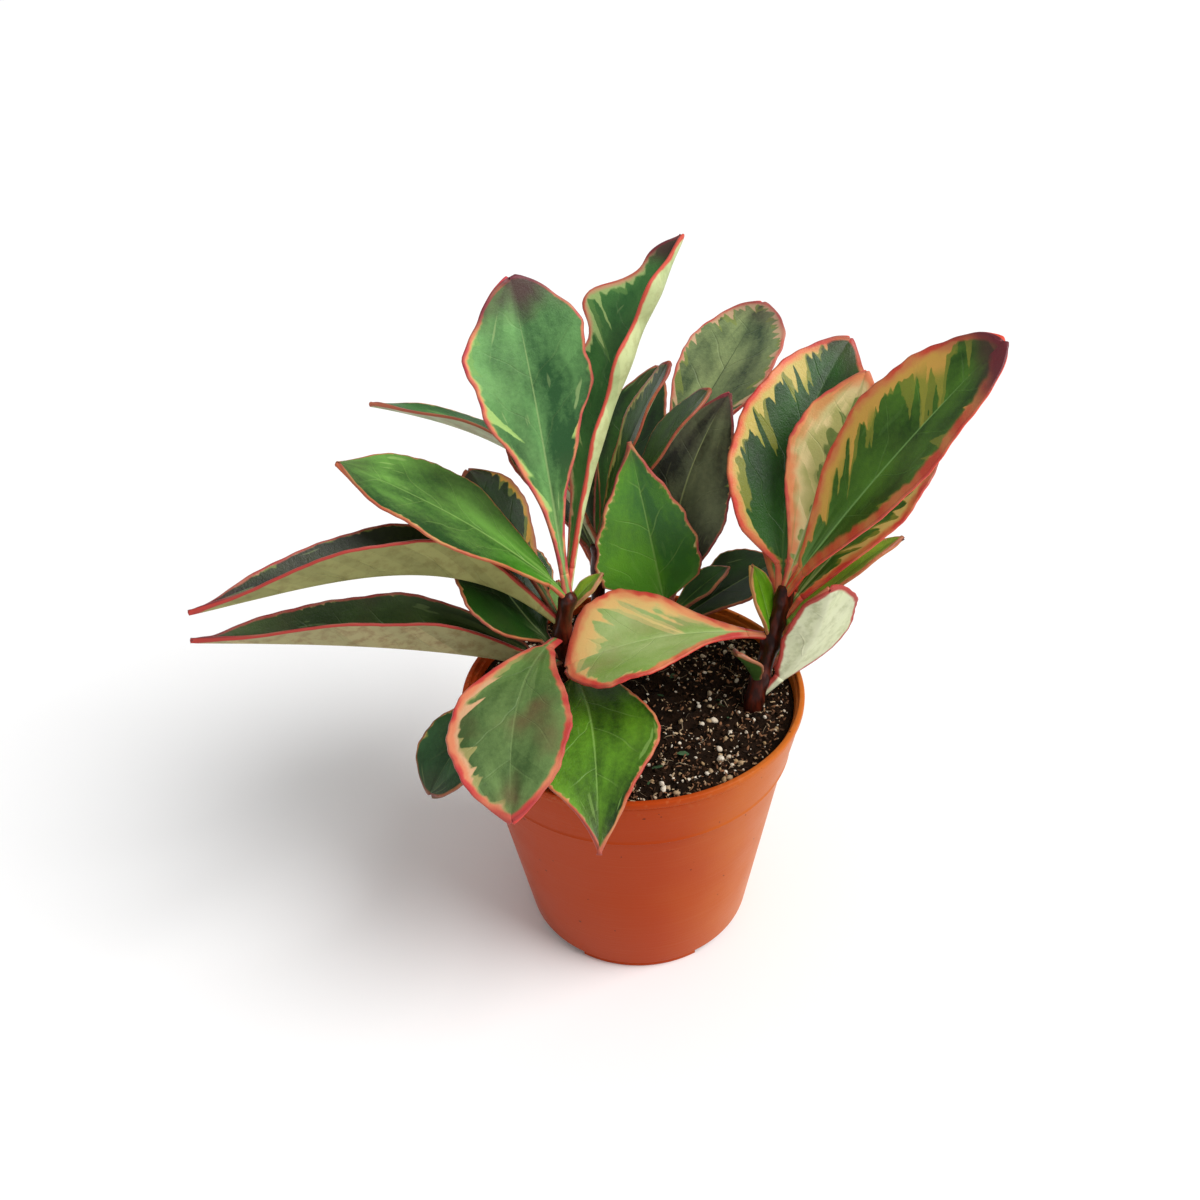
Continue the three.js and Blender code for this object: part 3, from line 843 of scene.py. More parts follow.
LEAVES: dict[str, LeafForm] = {
    "leaf_left_1": LeafForm(
        ("left", 134), (120, 76), (105, 41), widest=0.74, blunt=(0.75, 0.45), fold=(8, 14), lean=0.02,
        arch=(0.02, 0.04), lobe=0.08, phase=0.1,
    ),
    "leaf_left_2": LeafForm(
        ("left", 131), (49, 60), (126, 34), roll=20, widest=0.7, sway=(0.05, 0.05), fold=(0, 40),
        curl=(0, 90), blunt=(1.1, 0.6), lobe=0.32, phase=0.2, lean=0.1, stalk=13,
    ),
    "leaf_left_3": LeafForm(
        ("left", 134), (-178, 38), (87, 43), fold=(2, 8), widest=0.6, arch=(0.08, 0.06), lean=-0.1,
    ),
    "leaf_left_4": LeafForm(("left", 121), (136, 47), (64, 24), widest=0.74, blunt=(0.6, 0.6)),
    "leaf_left_5": LeafForm(
        ("left", 122), (-160, 17), (120, 34), fold=(60, 52), widest=0.48, arch=(0.22, 0.09),
        sway=(-0.1, -0.04), taper=2, blunt=(1.1, 1.1), lean=0.1,
    ),
    "leaf_left_6": LeafForm(
        ("left", 102), (-163, 19), (126, 36), fold=(58, 70), widest=0.46, arch=(-0.02, 0),
        sway=(-0.12, -0.05), taper=1.6, blunt=(1.1, 1.1), stalk=12,
    ),
    "leaf_left_7": LeafForm(
        ("left", 107), (150, 47), (55, 44), widest=0.62, sway=(0.12, 0.1), stalk=11,
    ),
    "leaf_left_8": LeafForm(
        ("left", 117), (-100, -14), (74, 40), widest=0.62, arch=(0.18, 0.14), sway=(-0.12, -0.08),
        fold=(12, 4), lean=-0.04, blunt=(0.7, 0.8),
    ),
    "leaf_left_9": LeafForm(
        ("left", 103), (-81, -8), (80, 40), widest=0.56, blunt=(1.2, 1.3), arch=(0.12, 0.25),
        sway=(0.08, 0.04), fold=(14, 2), lobe=0.14, lobes=2.4, phase=0.7,
    ),
    "leaf_left_10": LeafForm(
        ("left", 107), (-131, -15), (67, 27), widest=0.76, blunt=(0.5, 0.5), arch=(0.16, 0.2),
    ),
    "leaf_left_11": LeafForm(("left", 118), (95, 40), (20, 9), stalk=4, wave=0.3),
    "leaf_left_12": LeafForm(("left", 126), (30, 38), (20, 8), stalk=5, wave=0.3),
    "leaf_back_1": LeafForm(
        ("back", 130), (178, 37), (97, 32), widest=0.55, arch=(0.22, 0.14), roll=20,
    ),
    "leaf_back_2": LeafForm(("back", 129), (62, 47), (74, 26), stalk=11),
    "leaf_back_3": LeafForm(("back", 131), (8, 68), (73, 22), blunt=(0.5, 0.5)),
    "leaf_back_4": LeafForm(
        ("back", 120), (42, 43), (120, 40), sway=(-0.03, -0.05), roll=10, taper=1.3, widest=0.76,
        blunt=(0.6, 0.6), lean=-0.05, stalk=12,
    ),
    "leaf_back_5": LeafForm(("back", 125), (0, 58), (77, 26), blunt=(0.6, 0.6), widest=0.7, stalk=12),
    "leaf_middle_1": LeafForm(
        ("middle", 105), (172, 80), (73, 38), roll=-75, widest=0.42, blunt=(1.1, 1.1), lobe=0.06,
        lobes=7, lean=0.14, stalk=10,
    ),
    "leaf_middle_2": LeafForm(
        ("middle", 107), (46, 67), (84, 36), roll=20, sway=(0.09, 0.1), widest=0.5, taper=1.6,
        lean=-0.08,
    ),
    "leaf_middle_3": LeafForm(("middle", 104), (12, 40), (31, 16), stalk=5, wave=0.4),
    "leaf_middle_4": LeafForm(("middle", 99), (10, 30), (52, 34)),
    "leaf_right_1": LeafForm(
        ("right", 118), (-172, -3), (71, 54), widest=0.7, blunt=(0.5, 0.6), arch=(0.12, 0.12),
    ),
    "leaf_right_2": LeafForm(
        ("right", 131), (64, 50), (93, 46), sway=(0.11, 0.12), widest=0.5, taper=1.2,
        blunt=(0.65, 0.65), roll=20, stalk=12,
    ),
    "leaf_right_3": LeafForm(("right", 136), (45, 61), (74, 30), roll=10),
    "leaf_right_4": LeafForm(
        ("right", 132), (-17, 59), (107, 40), widest=0.6, taper=1.3, roll=45, blunt=(0.5, 0.5),
        lean=0.1, fold=(6, 22), curl=(0, 10), stalk=14,
    ),
    "leaf_right_5": LeafForm(("right", 122), (22, 43), (79, 25), roll=10, stalk=13),
    "leaf_right_6": LeafForm(("right", 116), (13, 38), (56, 14), stalk=10, fold=(30, 30), wave=0.4),
    "leaf_right_7": LeafForm(
        ("right", 99), (-3, 64), (50, 28), fold=(25, 5), roll=-75, blunt=(0.6, 0.6), widest=0.6,
        lean=0.3, sway=(0.22, 0.16), stalk=10,
    ),
    "leaf_right_8": LeafForm(("right", 116), (138, 71), (29, 11), stalk=6, wave=0.3),
    "leaf_right_9": LeafForm(("right", 104), (-137, 57), (22, 12), stalk=4, wave=0.3),
    "leaf_back_6": LeafForm(("back", 116), (100, 32), (78, 38)),
    "leaf_back_7": LeafForm(("back", 122), (122, 40), (76, 36)),
    "leaf_middle_5": LeafForm(("middle", 101), (88, 38), (74, 34), stalk=11),
    "leaf_middle_6": LeafForm(("middle", 98), (95, 22), (66, 36)),
    "leaf_right_10": LeafForm(("right", 124), (76, 40), (78, 36), stalk=10),
    "leaf_right_11": LeafForm(("right", 106), (56, 6), (54, 30)),
}

# Leaves shorter than this are one piece with their stem
BUD_LENGTH = 33.0


def direction(azimuth: float, lift: float) -> np.ndarray:
    """The unit vector at an azimuth from +X over +Y and a lift above the level, in degrees."""
    a, b = math.radians(azimuth), math.radians(lift)
    return np.array([math.cos(b) * math.cos(a), math.cos(b) * math.sin(a), math.sin(b)])


def turned(vector: np.ndarray, axis: np.ndarray, degrees: float) -> np.ndarray:
    """A vector turned about a unit axis that is square to it."""
    angle = math.radians(degrees)
    return vector * math.cos(angle) + np.cross(axis, vector) * math.sin(angle)


def with_poles(rows: np.ndarray) -> np.ndarray:
    """The rows with a row of zeros before and after them, for a closed grid's poles."""
    return np.concatenate([rows[:1] * 0, rows, rows[-1:] * 0])


class StemLine:
    """A centripetal curve through a stem's points."""

    def __init__(self, points: Sequence[Sequence[float]]) -> None:
        """Keeps the points as rows of x, y, z."""
        self.points = np.array(points, dtype=float)

    def at(self, t: float) -> np.ndarray:
        """The point at a share of the way along the points.

        Args:
            t: 0 at the first point and 1 at the last.

        Returns:
            The point in mm.
        """
        points = self.points
        place = t * (len(points) - 1)
        index = min(int(place), len(points) - 2)
        weight = place - index
        p1, p2 = points[index], points[index + 1]
        p0 = points[index - 1] if index > 0 else 2 * p1 - p2
        p3 = points[index + 2] if index + 2 < len(points) else 2 * p2 - p1
        d0, d1, d2 = (np.linalg.norm(b - a) ** 0.5 for a, b in ((p0, p1), (p1, p2), (p2, p3)))
        t1 = ((p1 - p0) / d0 - (p2 - p0) / (d0 + d1) + (p2 - p1) / d1) * d1
        t2 = ((p2 - p1) / d1 - (p3 - p1) / (d1 + d2) + (p3 - p2) / d2) * d1
        square = -3 * p1 + 3 * p2 - 2 * t1 - t2
        cube = 2 * p1 - 2 * p2 + t1 + t2
        return p1 + t1 * weight + square * weight**2 + cube * weight**3

    def at_height(self, height: float) -> np.ndarray:
        """The point at a height.

        Args:
            height: the height in mm.

        Returns:
            The point in mm.
        """
        low, high = 0.0, 1.0
        for _ in range(30):
            middle = (low + high) / 2
            if self.at(middle)[2] < height:
                low = middle
            else:
                high = middle
        return self.at((low + high) / 2)


@dataclass(frozen=True)
class BladeSizes:
    """Sizes that all blades share.

    Attributes:
        rib, margin: thickness at the rib and at the margin, in mm.
        rib_spread: distance from the rib over which the blade thins, in mm.
        stalk_half_width, stalk_half_thickness: half of the stalk's section, in mm.
        stalk_widest, flare: half width where the blade starts, and how fast it may widen from there.
        stalk_under, stalk_over: overlap of blade and stalk, on the stalk's and the blade's side, in mm.
        stalk_swell: factor by which the stalk is thicker than the blade's start inside it.
        thick_share: share of the length over which the stalk thins into the blade.
        crease: half width of the fold's round bottom, as a share of the half width.
        quilt: height of the waves between side veins, in mm.
        groove, groove_spread, groove_share: depth and half width of the groove over the rib, in mm, and the
            share of the length over which it starts.
        nibble, nibbles: depth and number of the margin's finest teeth.
        waves: number of the margin's waves up and down.
        shifts: how far apart the two halves' lobes, finest teeth and waves start.
        wilt: factor on the fold at the base and at the tip.
    """

    rib: float = 1.8
    margin: float = 1.0
    rib_spread: float = 4.5
    stalk_half_width: float = 2.0
    stalk_half_thickness: float = 1.25
    stalk_widest: float = 2.4
    flare: float = 1.3
    stalk_under: float = 0.6
    stalk_over: float = 0.4
    stalk_swell: float = 1.02
    thick_share: float = 0.12
    crease: float = 0.06
    quilt: float = 0.07
    groove: float = 0.3
    groove_spread: float = 0.8
    groove_share: float = 0.2
    nibble: float = 0.012
    nibbles: float = 17.3
    waves: float = 3.0
    shifts: tuple[float, float, float] = (0.15, 0.31, 0.2)
    wilt: tuple[float, float] = (1.15, 0.85)


class Leaf:
    """One leaf: places the points of its blade and stalk and builds their meshes."""

    AROUND = 64
    RINGS = 72
    BUD_RINGS = 36
    STALK_RINGS = 8
    CROWDING = 0.75
    TIP_CROWDING = 1.5
    OUTLINE_STEPS = 260
    OUTLINE_CROWDING = 1.6
    BLOCK = 1024

    def __init__(self, name: str, form: LeafForm, line: StemLine, seed: int) -> None:
        """Places the chord and the four control points of the rib.

        Args:
            name: name of the leaf.
            form: its form.
            line: the line of its stem.
            seed: keeps its nibbles and patterns apart from other leaves'.
        """
        self.name = name
        self.form = form
        self.sizes = BladeSizes()
        self.seed = float(seed)
        self.length = form.size[0]
        base = line.at_height(form.node[1])
        axis = direction(*form.aim)
        level = unit_rows(np.array([0.0, 0.0, 1.0]) - axis * axis[2])
        self.face = turned(level, axis, form.roll)
        left = np.cross(self.face, axis)
        bends = zip((0, 1 / 3, 2 / 3, 1), (0, *form.arch, 0), (0, *form.sway, 0))
        self.control = np.array(
            [base + self.length * (axis * share + self.face * arch + left * sway) for share, arch, sway in bends]
        )

    @property
    def is_bud(self) -> bool:
        """Whether the leaf is one piece with its stem."""
        return self.length < BUD_LENGTH

    @cached_property
    def materials(self) -> tuple[bpy.types.Material, bpy.types.Material]:
        """The materials of the upper and the lower face.

        Returns:
            The upper face's and the lower face's.
        """
        finish = FINISHES[self.name]
        return (
            UpperFace("waxy_" + self.name, finish, self.seed, self.length).material(),
            UnderFace("matt_" + self.name, finish, self.seed, self.length).material(),
        )

    def rib_frame(self, s: np.ndarray) -> tuple[np.ndarray, np.ndarray, np.ndarray]:
        """Where the rib is at shares of the length, and the face and left directions there.

        Args:
            s: shares of the length.

        Returns:
            Points of the rib, face directions and left directions.
        """
        c0, c1, c2, c3 = self.control
        t = s[..., None]
        origin = (1 - t) ** 3 * c0 + 3 * (1 - t) ** 2 * t * c1 + 3 * (1 - t) * t**2 * c2 + t**3 * c3
        slope = (1 - t) ** 2 * (c1 - c0) + 2 * (1 - t) * t * (c2 - c1) + t**2 * (c3 - c2)
        tangent = unit_rows(slope)
        face = unit_rows(self.face - tangent * np.sum(tangent * self.face, axis=-1, keepdims=True))
        return origin, face, np.cross(face, tangent)

    def half_width(self, s: np.ndarray, side: np.ndarray) -> np.ndarray:
        """Half of the blade's width on the left (side 1) or the right (side -1).

        Args:
            s: shares of the length.
            side: 1 or -1 for each share.

        Returns:
            The widths in mm.
        """
        form, sizes = self.form, self.sizes
        power = math.log(0.5) / math.log(form.widest)
        wave = np.clip(np.sin(np.pi * np.clip(s, 0, 1) ** power), 0.0, 1.0)
        blunt = np.where(side > 0, form.blunt[0], form.blunt[1])
        outline = wave ** np.where(s > form.widest, blunt, form.taper)
        shift, fine_shift, _ = sizes.shifts
        teeth = 1 + form.lobe * s * np.sin(2 * np.pi * (form.lobes * s + form.phase + side * shift))
        nibble = 1 + sizes.nibble * s * np.sin(2 * np.pi * (sizes.nibbles * s + side * fine_shift + self.seed))
        stalk = sizes.stalk_half_width * (1 - s) ** 3
        width = (form.size[1] / 2) * (1 + side * form.lean) * outline * teeth * nibble + stalk
        beyond = np.maximum(s * self.length - form.stalk, 0.0)
        return np.minimum(width, sizes.stalk_widest + sizes.flare * beyond)

    def middle(self, s: np.ndarray, u: np.ndarray) -> np.ndarray:
        """Points of the blade's middle surface; u goes from -1 at the right to 1 at the left margin.

        Args:
            s: shares of the length.
            u: places across the blade.

        Returns:
            The points in mm.
        """
        form, sizes = self.form, self.sizes
        side = np.where(u < 0, -1.0, 1.0)
        t = np.abs(u)
        crease = sizes.crease
        t_up = (np.sqrt(t**2 + crease**2) - crease) / (math.sqrt(1 + crease**2) - crease)
        origin, face, left = self.rib_frame(s)
        fold = np.radians(np.where(side > 0, *form.fold) * lerp(*sizes.wilt, s))
        # A curl of nothing would divide by zero, so it gets a hundredth of a degree
        curl = np.radians(np.where(side > 0, form.curl[0] or 0.01, form.curl[1] or 0.01))
        width = self.half_width(s, side)
        across = width * (np.sin(fold + curl * t) - np.sin(fold)) / curl
        up = width * (np.cos(fold) - np.cos(fold + curl * t_up)) / curl
        phase = sizes.waves * s + form.phase + side * sizes.shifts[2]
        ruffle = form.wave * s * t**2 * np.sin(2 * np.pi * phase)
        vein = s * self.length - t * width * lerp(*LeafFace.SLANT, s)
        quilt = sizes.quilt * np.sin(2 * np.pi * vein / LeafFace.VEIN_GAP) * 4 * t * (1 - t) * s
        return origin + left * (side * across)[..., None] + face * (up + ruffle + quilt)[..., None]

    def normal(self, s: np.ndarray, u: np.ndarray) -> np.ndarray:
        """The upper face's direction at points of the blade.

        Args:
            s: shares of the length.
            u: places across the blade.

        Returns:
            Unit vectors.
        """
        ds, du = 0.004, 0.02
        ahead = self.middle(np.minimum(s + ds, 1), u) - self.middle(np.maximum(s - ds, 0), u)
        over = self.middle(s, np.minimum(u + du, 1)) - self.middle(s, np.maximum(u - du, -1))
        return unit_rows(np.cross(ahead, over))

    def loop(self) -> tuple[np.ndarray, np.ndarray]:
        """Places round one section, closer together at the margins and the rib.

        Returns:
            Their u, and 1 for the upper face, -1 for the lower, 0 for the margins.
        """
        quarter = self.AROUND // 4
        x = np.arange(quarter + 1) / quarter
        share = x - self.CROWDING * np.sin(2 * np.pi * x) / (2 * np.pi)
        top = np.concatenate([1 - share, -share[1:]])
        u = np.concatenate([top, top[-2:0:-1]])
        face = np.ones(self.AROUND)
        face[2 * quarter + 1 :] = -1
        face[[0, 2 * quarter]] = 0
        return u, face

    def section(self, s: np.ndarray, swell: float) -> tuple[np.ndarray, np.ndarray, np.ndarray]:
        """Sections of the leaf.

        Args:
            s: shares of the length, one for each ring.
            swell: factor on the section's size.

        Returns:
            Points as [ring, place, xyz], distances across from the rib, and the face signs.
        """
        sizes = self.sizes
        u_loop, face_loop = self.loop()
        s_grid = np.repeat(s[:, None], self.AROUND, axis=1)
        u = np.repeat(u_loop[None, :], len(s), axis=0)
        sign = np.repeat(face_loop[None, :], len(s), axis=0)
        past_stalk = s_grid - self.form.stalk / self.length
        width = self.half_width(s_grid, np.where(u < 0, -1.0, 1.0)) * swell
        x = np.abs(u) * width
        blade = sizes.margin + (sizes.rib - sizes.margin) * np.exp(-((x / sizes.rib_spread) ** 2))
        base = np.clip(1 - past_stalk / sizes.thick_share, 0, 1)
        thickness = lerp(blade, 2 * sizes.stalk_half_thickness, base * (1 - 0.5 * np.abs(u))) * swell
        radius = np.minimum(lerp(sizes.margin / 2, width, base**2), width)
        past_flat = np.clip((x - (width - radius)) / np.maximum(radius, 1e-6), 0, 1)
        offset = sign * thickness / 2 * np.sqrt(np.clip(1 - past_flat**2, 0, 1))
        groove = sizes.groove * np.exp(-((x / sizes.groove_spread) ** 2))
        groove = groove * np.clip(past_stalk / sizes.groove_share, 0, 1) * (1 - s_grid)
        offset = offset - np.where(sign > 0, groove, 0.0)
        points = self.middle(s_grid, u) + self.normal(s_grid, u) * offset[..., None]
        return points, u * width, sign

    def rim_distance(self, across: np.ndarray, s: np.ndarray) -> np.ndarray:
        """Distances in mm from points of the flattened blade to its outline.

        Args:
            across: distances from the rib in mm, a row for each ring.
            s: shares of the length, one for each ring.

        Returns:
            The distances, laid out as across.
        """
        line_s = 1 - np.linspace(1, 0, self.OUTLINE_STEPS) ** self.OUTLINE_CROWDING
        places = np.stack([across.ravel(), (s[:, None] * np.ones_like(across)).ravel() * self.length], axis=1)
        best = np.full(len(places), np.inf)
        for side in (1.0, -1.0):
            margin = side * self.half_width(line_s, np.full_like(line_s, side))
            line = np.stack([margin, line_s * self.length], axis=1)
            a, edge = line[:-1], line[1:] - line[:-1]
            size = np.maximum(np.sum(edge**2, axis=1), 1e-12)
            for first in range(0, len(places), self.BLOCK):
                part = places[first : first + self.BLOCK, None, :]
                share = np.clip(np.sum((part - a) * edge, axis=2) / size, 0, 1)
                gap = np.linalg.norm(part - (a + share[..., None] * edge), axis=2).min(axis=1)
                best[first : first + self.BLOCK] = np.minimum(best[first : first + self.BLOCK], gap)
        return best.reshape(across.shape)

    def build(self, name: str, s: np.ndarray, has_tip: bool, swell: float = 1.0) -> bpy.types.Object:
        """A closed mesh over rings, with its pattern attributes and materials.

        Args:
            name: name of the object.
            s: shares of the length, one for each ring.
            has_tip: whether the mesh ends in the leaf's tip and knows its distance to the outline.
            swell: factor on the section's size.

        Returns:
            The object, with its upper face in the first material and the rest in the second.
        """
        grid = closed_grid(name, self.AROUND, len(s) + 1)
        points, across, sign = self.section(s, swell)
        if has_tip:
            rim = self.rim_distance(across, s)
            last, end = self.middle(np.array([1.0]), np.array([0.0]))[0], 1.0
        else:
            rim = np.abs(across).max(axis=1, keepdims=True) - np.abs(across)
            last, end = points[-1].mean(axis=0), s[-1]
        first = points[0].mean(axis=0)
        poles = [np.broadcast_to(pole, (1, self.AROUND, 3)) for pole in (first, last)]
        grid.place(np.concatenate([poles[0], points, poles[1]]))
        along = np.concatenate([s[:1], s, [end]]) * self.length
        grid.attribute("across", with_poles(across))
        grid.attribute("along", np.repeat(along[:, None], self.AROUND, axis=1))
        grid.attribute("rim", with_poles(rim))
        obj = grid.obj
        for material in self.materials:
            obj.data.materials.append(material)
        signs = with_poles(sign)[grid.ring, grid.turn]
        for polygon in obj.data.polygons:
            polygon.material_index = 0 if sum(signs[v] for v in polygon.vertices) > 0 else 1
        shade_smooth(obj)
        return obj

    def blade(self) -> bpy.types.Object:
        """The blade, from just inside the stalk's end to the tip, with closer rings at the tip.

        Returns:
            The object.
        """
        first = (self.form.stalk - self.sizes.stalk_under) / self.length
        rings = self.BUD_RINGS if self.is_bud else self.RINGS
        x = np.arange(1, rings) / rings
        s = first + (1 - first) * (1 - (1 - x) ** self.TIP_CROWDING)
        return self.build(self.name, np.concatenate([[first], s]), has_tip=True)

    def stalk(self) -> bpy.types.Object:
        """The stalk, from the stem's axis to just over the blade's start.

        Returns:
            The object.
        """
        last = (self.form.stalk + self.sizes.stalk_over) / self.length
        s = np.linspace(0, last, self.STALK_RINGS)
        return self.build(self.name + "_stalk", s, has_tip=False, swell=self.sizes.stalk_swell)


# ------------------------------------------------------------------- stems


@dataclass(frozen=True)
class StemForm:
    """A stem's line through its points, its radius at foot and top and its nodes, in mm.

    Attributes:
        points: the points that its line goes through.
        radius: radius at foot and top.
        slim: factor on that radius between the nodes.
        node, node_spread: how far each node stands out, and over which height.
        most: how far a node may go past the radius at the foot.
        cap: height of the rounded top.
        dark, bright: its two colours.
    """

    points: tuple[tuple[float, float, float], ...]
    radius: tuple[float, float]
    slim: float = 0.96
    node: float = 0.45
    node_spread: float = 2.2
    most: float = 0.2
    cap: float = 2.0
    dark: str = "#2a0d07"
    bright: str = "#702611"


STEMS: dict[str, StemForm] = {
    "left": StemForm(((-20, 5, 70), (-22, 6, 98), (-24, 5, 116), (-20, 3, 137)), (3.4, 2.4)),
    "right": StemForm(((39, -13, 70), (42, -9, 98), (48, 0, 116), (53, 4, 137)), (3.6, 2.6)),
    "middle": StemForm(((13, 30, 70), (12, 31, 92), (13, 32, 101), (15, 33, 109)), (3.2, 2.4)),
    "back": StemForm(((-14, 38, 70), (-13, 41, 98), (-12, 43, 116), (-11, 45, 132)), (3.2, 2.4)),
}


def stem_material(form: StemForm) -> bpy.types.Material:
    """Fleshy glossy stem: dark maroon with brighter streaks along it.

    Args:
        form: the stem, with its two colours.

    Returns:
        The material.
    """
    g = Graph("fleshy_stem")
    place = g.place_mm()
    streak = g.noise(g.stretched(place, (0.5, 0.5, 0.08)), detail=3.0)
    colour = g.mix(streak.step(0.4, 0.8, 0.0, 0.7), form.dark, form.bright)
    g.bump(g.noise(place, scale=1.1, detail=3.0) * 0.04)
    return g.finish(Base_Color=colour, Roughness=0.32, IOR=1.45, Specular_IOR_Level=0.3)


class Stem:
    """A stem with its nodes, the stalks of its leaves and its own small leaves."""

    AROUND = 24
    RINGS = 56

    def __init__(self, name: str, form: StemForm) -> None:
        """Lays the line and gathers the leaves that grow on it.

        Args:
            name: name of the stem.
            form: its form.
        """
        self.name = name
        self.form = form
        self.line = StemLine(form.points)
        self.leaves = [
            Leaf(leaf_name, leaf_form, self.line, seed)
            for seed, (leaf_name, leaf_form) in enumerate(LEAVES.items())
            if leaf_form.node[0] == name
        ]

    def radii(self, centre: np.ndarray) -> np.ndarray:
        """The radius at each point of the line, thicker at the nodes and rounded off at the top.

        Args:
            centre: points of the line, one for each ring.

        Returns:
            The radii in mm.
        """
        form = self.form
        radius = lerp(*form.radius, np.linspace(0, 1, self.RINGS)) * form.slim
        for leaf in self.leaves:
            radius = radius + form.node * np.exp(-(((centre[:, 2] - leaf.form.node[1]) / form.node_spread) ** 2))
        radius = np.minimum(radius, form.radius[0] + form.most)
        to_top = np.clip((centre[-1, 2] - centre[:, 2]) / form.cap, 0, 1)
        return radius * np.sqrt(np.clip(1 - (1 - to_top) ** 2, 0.02, 1))

    def tube(self) -> bpy.types.Object:
        """The stem itself.

        Returns:
            The object.
        """
        centre = np.array([self.line.at(t) for t in np.linspace(0, 1, self.RINGS)])
        tangent = unit_rows(np.gradient(centre, axis=0))
        east = unit_rows(np.array([1.0, 0, 0]) - tangent * tangent[:, :1])
        north = np.cross(tangent, east)
        angle = angles_round(self.AROUND)[None, :, None]
        outward = np.cos(angle) * east[:, None] + np.sin(angle) * north[:, None]
        rings = centre[:, None] + outward * self.radii(centre)[:, None, None]
        ends = [np.broadcast_to(centre[i], (1, self.AROUND, 3)) for i in (0, -1)]
        grid = closed_grid(f"stem_{self.name}", self.AROUND, self.RINGS + 1)
        grid.place(np.concatenate([ends[0], rings, ends[1]]))
        # The leaves' attributes, so that joining them in keeps their values
        for attribute in ("across", "along", "rim"):
            grid.attribute(attribute, np.zeros((self.RINGS + 2, self.AROUND)))
        grid.obj.data.materials.append(stem_material(self.form))
        shade_smooth(grid.obj)
        return grid.obj

    def build(self) -> None:
        """Builds the stem's piece and the pieces of its leaves."""
        stem = self.tube()
        parts = []
        for leaf in self.leaves:
            parts.append(leaf.stalk())
            if leaf.is_bud:
                parts.append(leaf.blade())
            else:
                hand_in(leaf.blade(), leaf.name, "leaf")
        join(stem, parts)
        hand_in(stem, f"stem_{self.name}", "stem")


# --------------------------------------------------------------------- pot


@dataclass(frozen=True)
class PotForm:
    """Sizes of the pot in mm."""

    height: float = 100.0
    rim_radius: float = 60.0
    foot_radius: float = 42.5
    wall: float = 1.2
    floor: float = 1.6
    band_height: float = 22.0
    band_step: float = 1.3
    lip_width: float = 1.9
    lip_height: float = 2.2
    foot_step: float = 2.6
    foot_inset: float = 0.7
    gap: float = 0.3
    notches: int = 4
    notch_size: tuple[float, float, float] = (12.0, 22.0, 4.8)
    crisp_degrees: float = 35.0

    def outer(self, z: float) -> float:
        """Radius of the straight outer cone at a height."""
        return self.foot_radius + (self.rim_radius - self.foot_radius) * z / self.height

    def inner(self, z: float) -> float:
        """Radius of the inner wall at a height."""
        return self.outer(z) - self.band_step - self.wall

    def mix_radius(self, z: float) -> float:
        """Radius of the potting mix at a height."""
        return self.inner(z) - self.gap


@dataclass(frozen=True)
class PlasticFinish:
    """Moulded terracotta-coloured plastic, dusty near its rim, with painted light: paler between two places along
    x, on the side that the key light falls on.
    """

    body: str = "#aa3d11"
    # Painted light: the paler colour painted on the side that the key light falls on, between two places along x
    pale: str = "#bf6524"
    dust: str = "#c58050"
    speck: str = "#3f1d12"
    rough: float = 0.3
    lit_side_from: tuple[float, float] = (4.0, 50.0)
    dusty_from: tuple[float, float] = (92.0, 99.0)


def plastic_material(finish: PlasticFinish) -> bpy.types.Material:
    """Injection-moulded plastic: satin, with specks of soil, and painted light: paler on the side towards the key
    light.

    Args:
        finish: its colours and places.

    Returns:
        The material.
    """
    g = Graph("terracotta_plastic")
    place = g.place_mm()
    across = g.add("SeparateXYZ", {0: place}, output="X")
    height = g.add("SeparateXYZ", {0: place}, output="Z")
    # Painted light: the side towards the key light, along +x, is painted paler, with a wandering edge
    lit_side = (g.noise(place, scale=0.035, detail=3.0) - 0.5) * 24.0 + across
    colour = g.mix(lit_side.step(*finish.lit_side_from), finish.body, finish.pale)
    rub = g.noise(g.stretched(place, (0.02, 0.02, 0.9)), detail=4.0, roughness=0.6)
    colour = g.mix(rub.step(0.5, 0.8, 0.0, 0.08), colour, finish.dust)
    speck = g.noise(place, scale=0.42, detail=1.0).step(0.775, 0.785)
    colour = g.mix(speck * 0.75, colour, finish.speck)
    # Moved aside, so that the chalk marks don't lie where the specks are
    aside = g.add("VectorMath", {0: place, 1: (50.0, 0.0, 0.0)}, operation="ADD")
    chalk = g.noise(aside, scale=0.4).step(0.77, 0.79)
    colour = g.mix(chalk * 0.45, colour, finish.dust)
    rim_dust = height.step(*finish.dusty_from) * g.noise(place, scale=0.5).step(0.5, 0.7)
    colour = g.mix(rim_dust * 0.2, colour, finish.dust)
    g.bump(g.noise(place, scale=2.2, detail=3.0) * 0.03 + rub * 0.05)
    rough = g.noise(place, scale=0.08, detail=4.0) * 0.18 + (finish.rough - 0.06)
    return g.finish(Base_Color=colour, Roughness=rough, IOR=1.47, Specular_IOR_Level=0.06)


def rounded(corners: Sequence[tuple[float, float, float]], steps: int = 4) -> np.ndarray:
    """A profile of (radius, height) points with each corner rounded.

    Args:
        corners: radius, height and rounding of each corner, in mm.
        steps: points on each rounding.

    Returns:
        Rows of radius and height.
    """
    profile = [np.array(corners[0][:2])]
    for index in range(1, len(corners) - 1):
        before, here, after = (np.array(corners[index + k][:2]) for k in (-1, 0, 1))
        to_before, to_after = before - here, after - here
        # A rounding takes less than half of the shorter side, so that two never meet
        most = min(np.linalg.norm(to_before), np.linalg.norm(to_after)) * 0.45
        cut = min(corners[index][2], most)
        a = here + to_before / np.linalg.norm(to_before) * cut
        b = here + to_after / np.linalg.norm(to_after) * cut
        for t in np.linspace(0, 1, steps):
            profile.append((1 - t) ** 2 * a + 2 * t * (1 - t) * here + t**2 * b)
    profile.append(np.array(corners[-1][:2]))
    return np.array(profile)


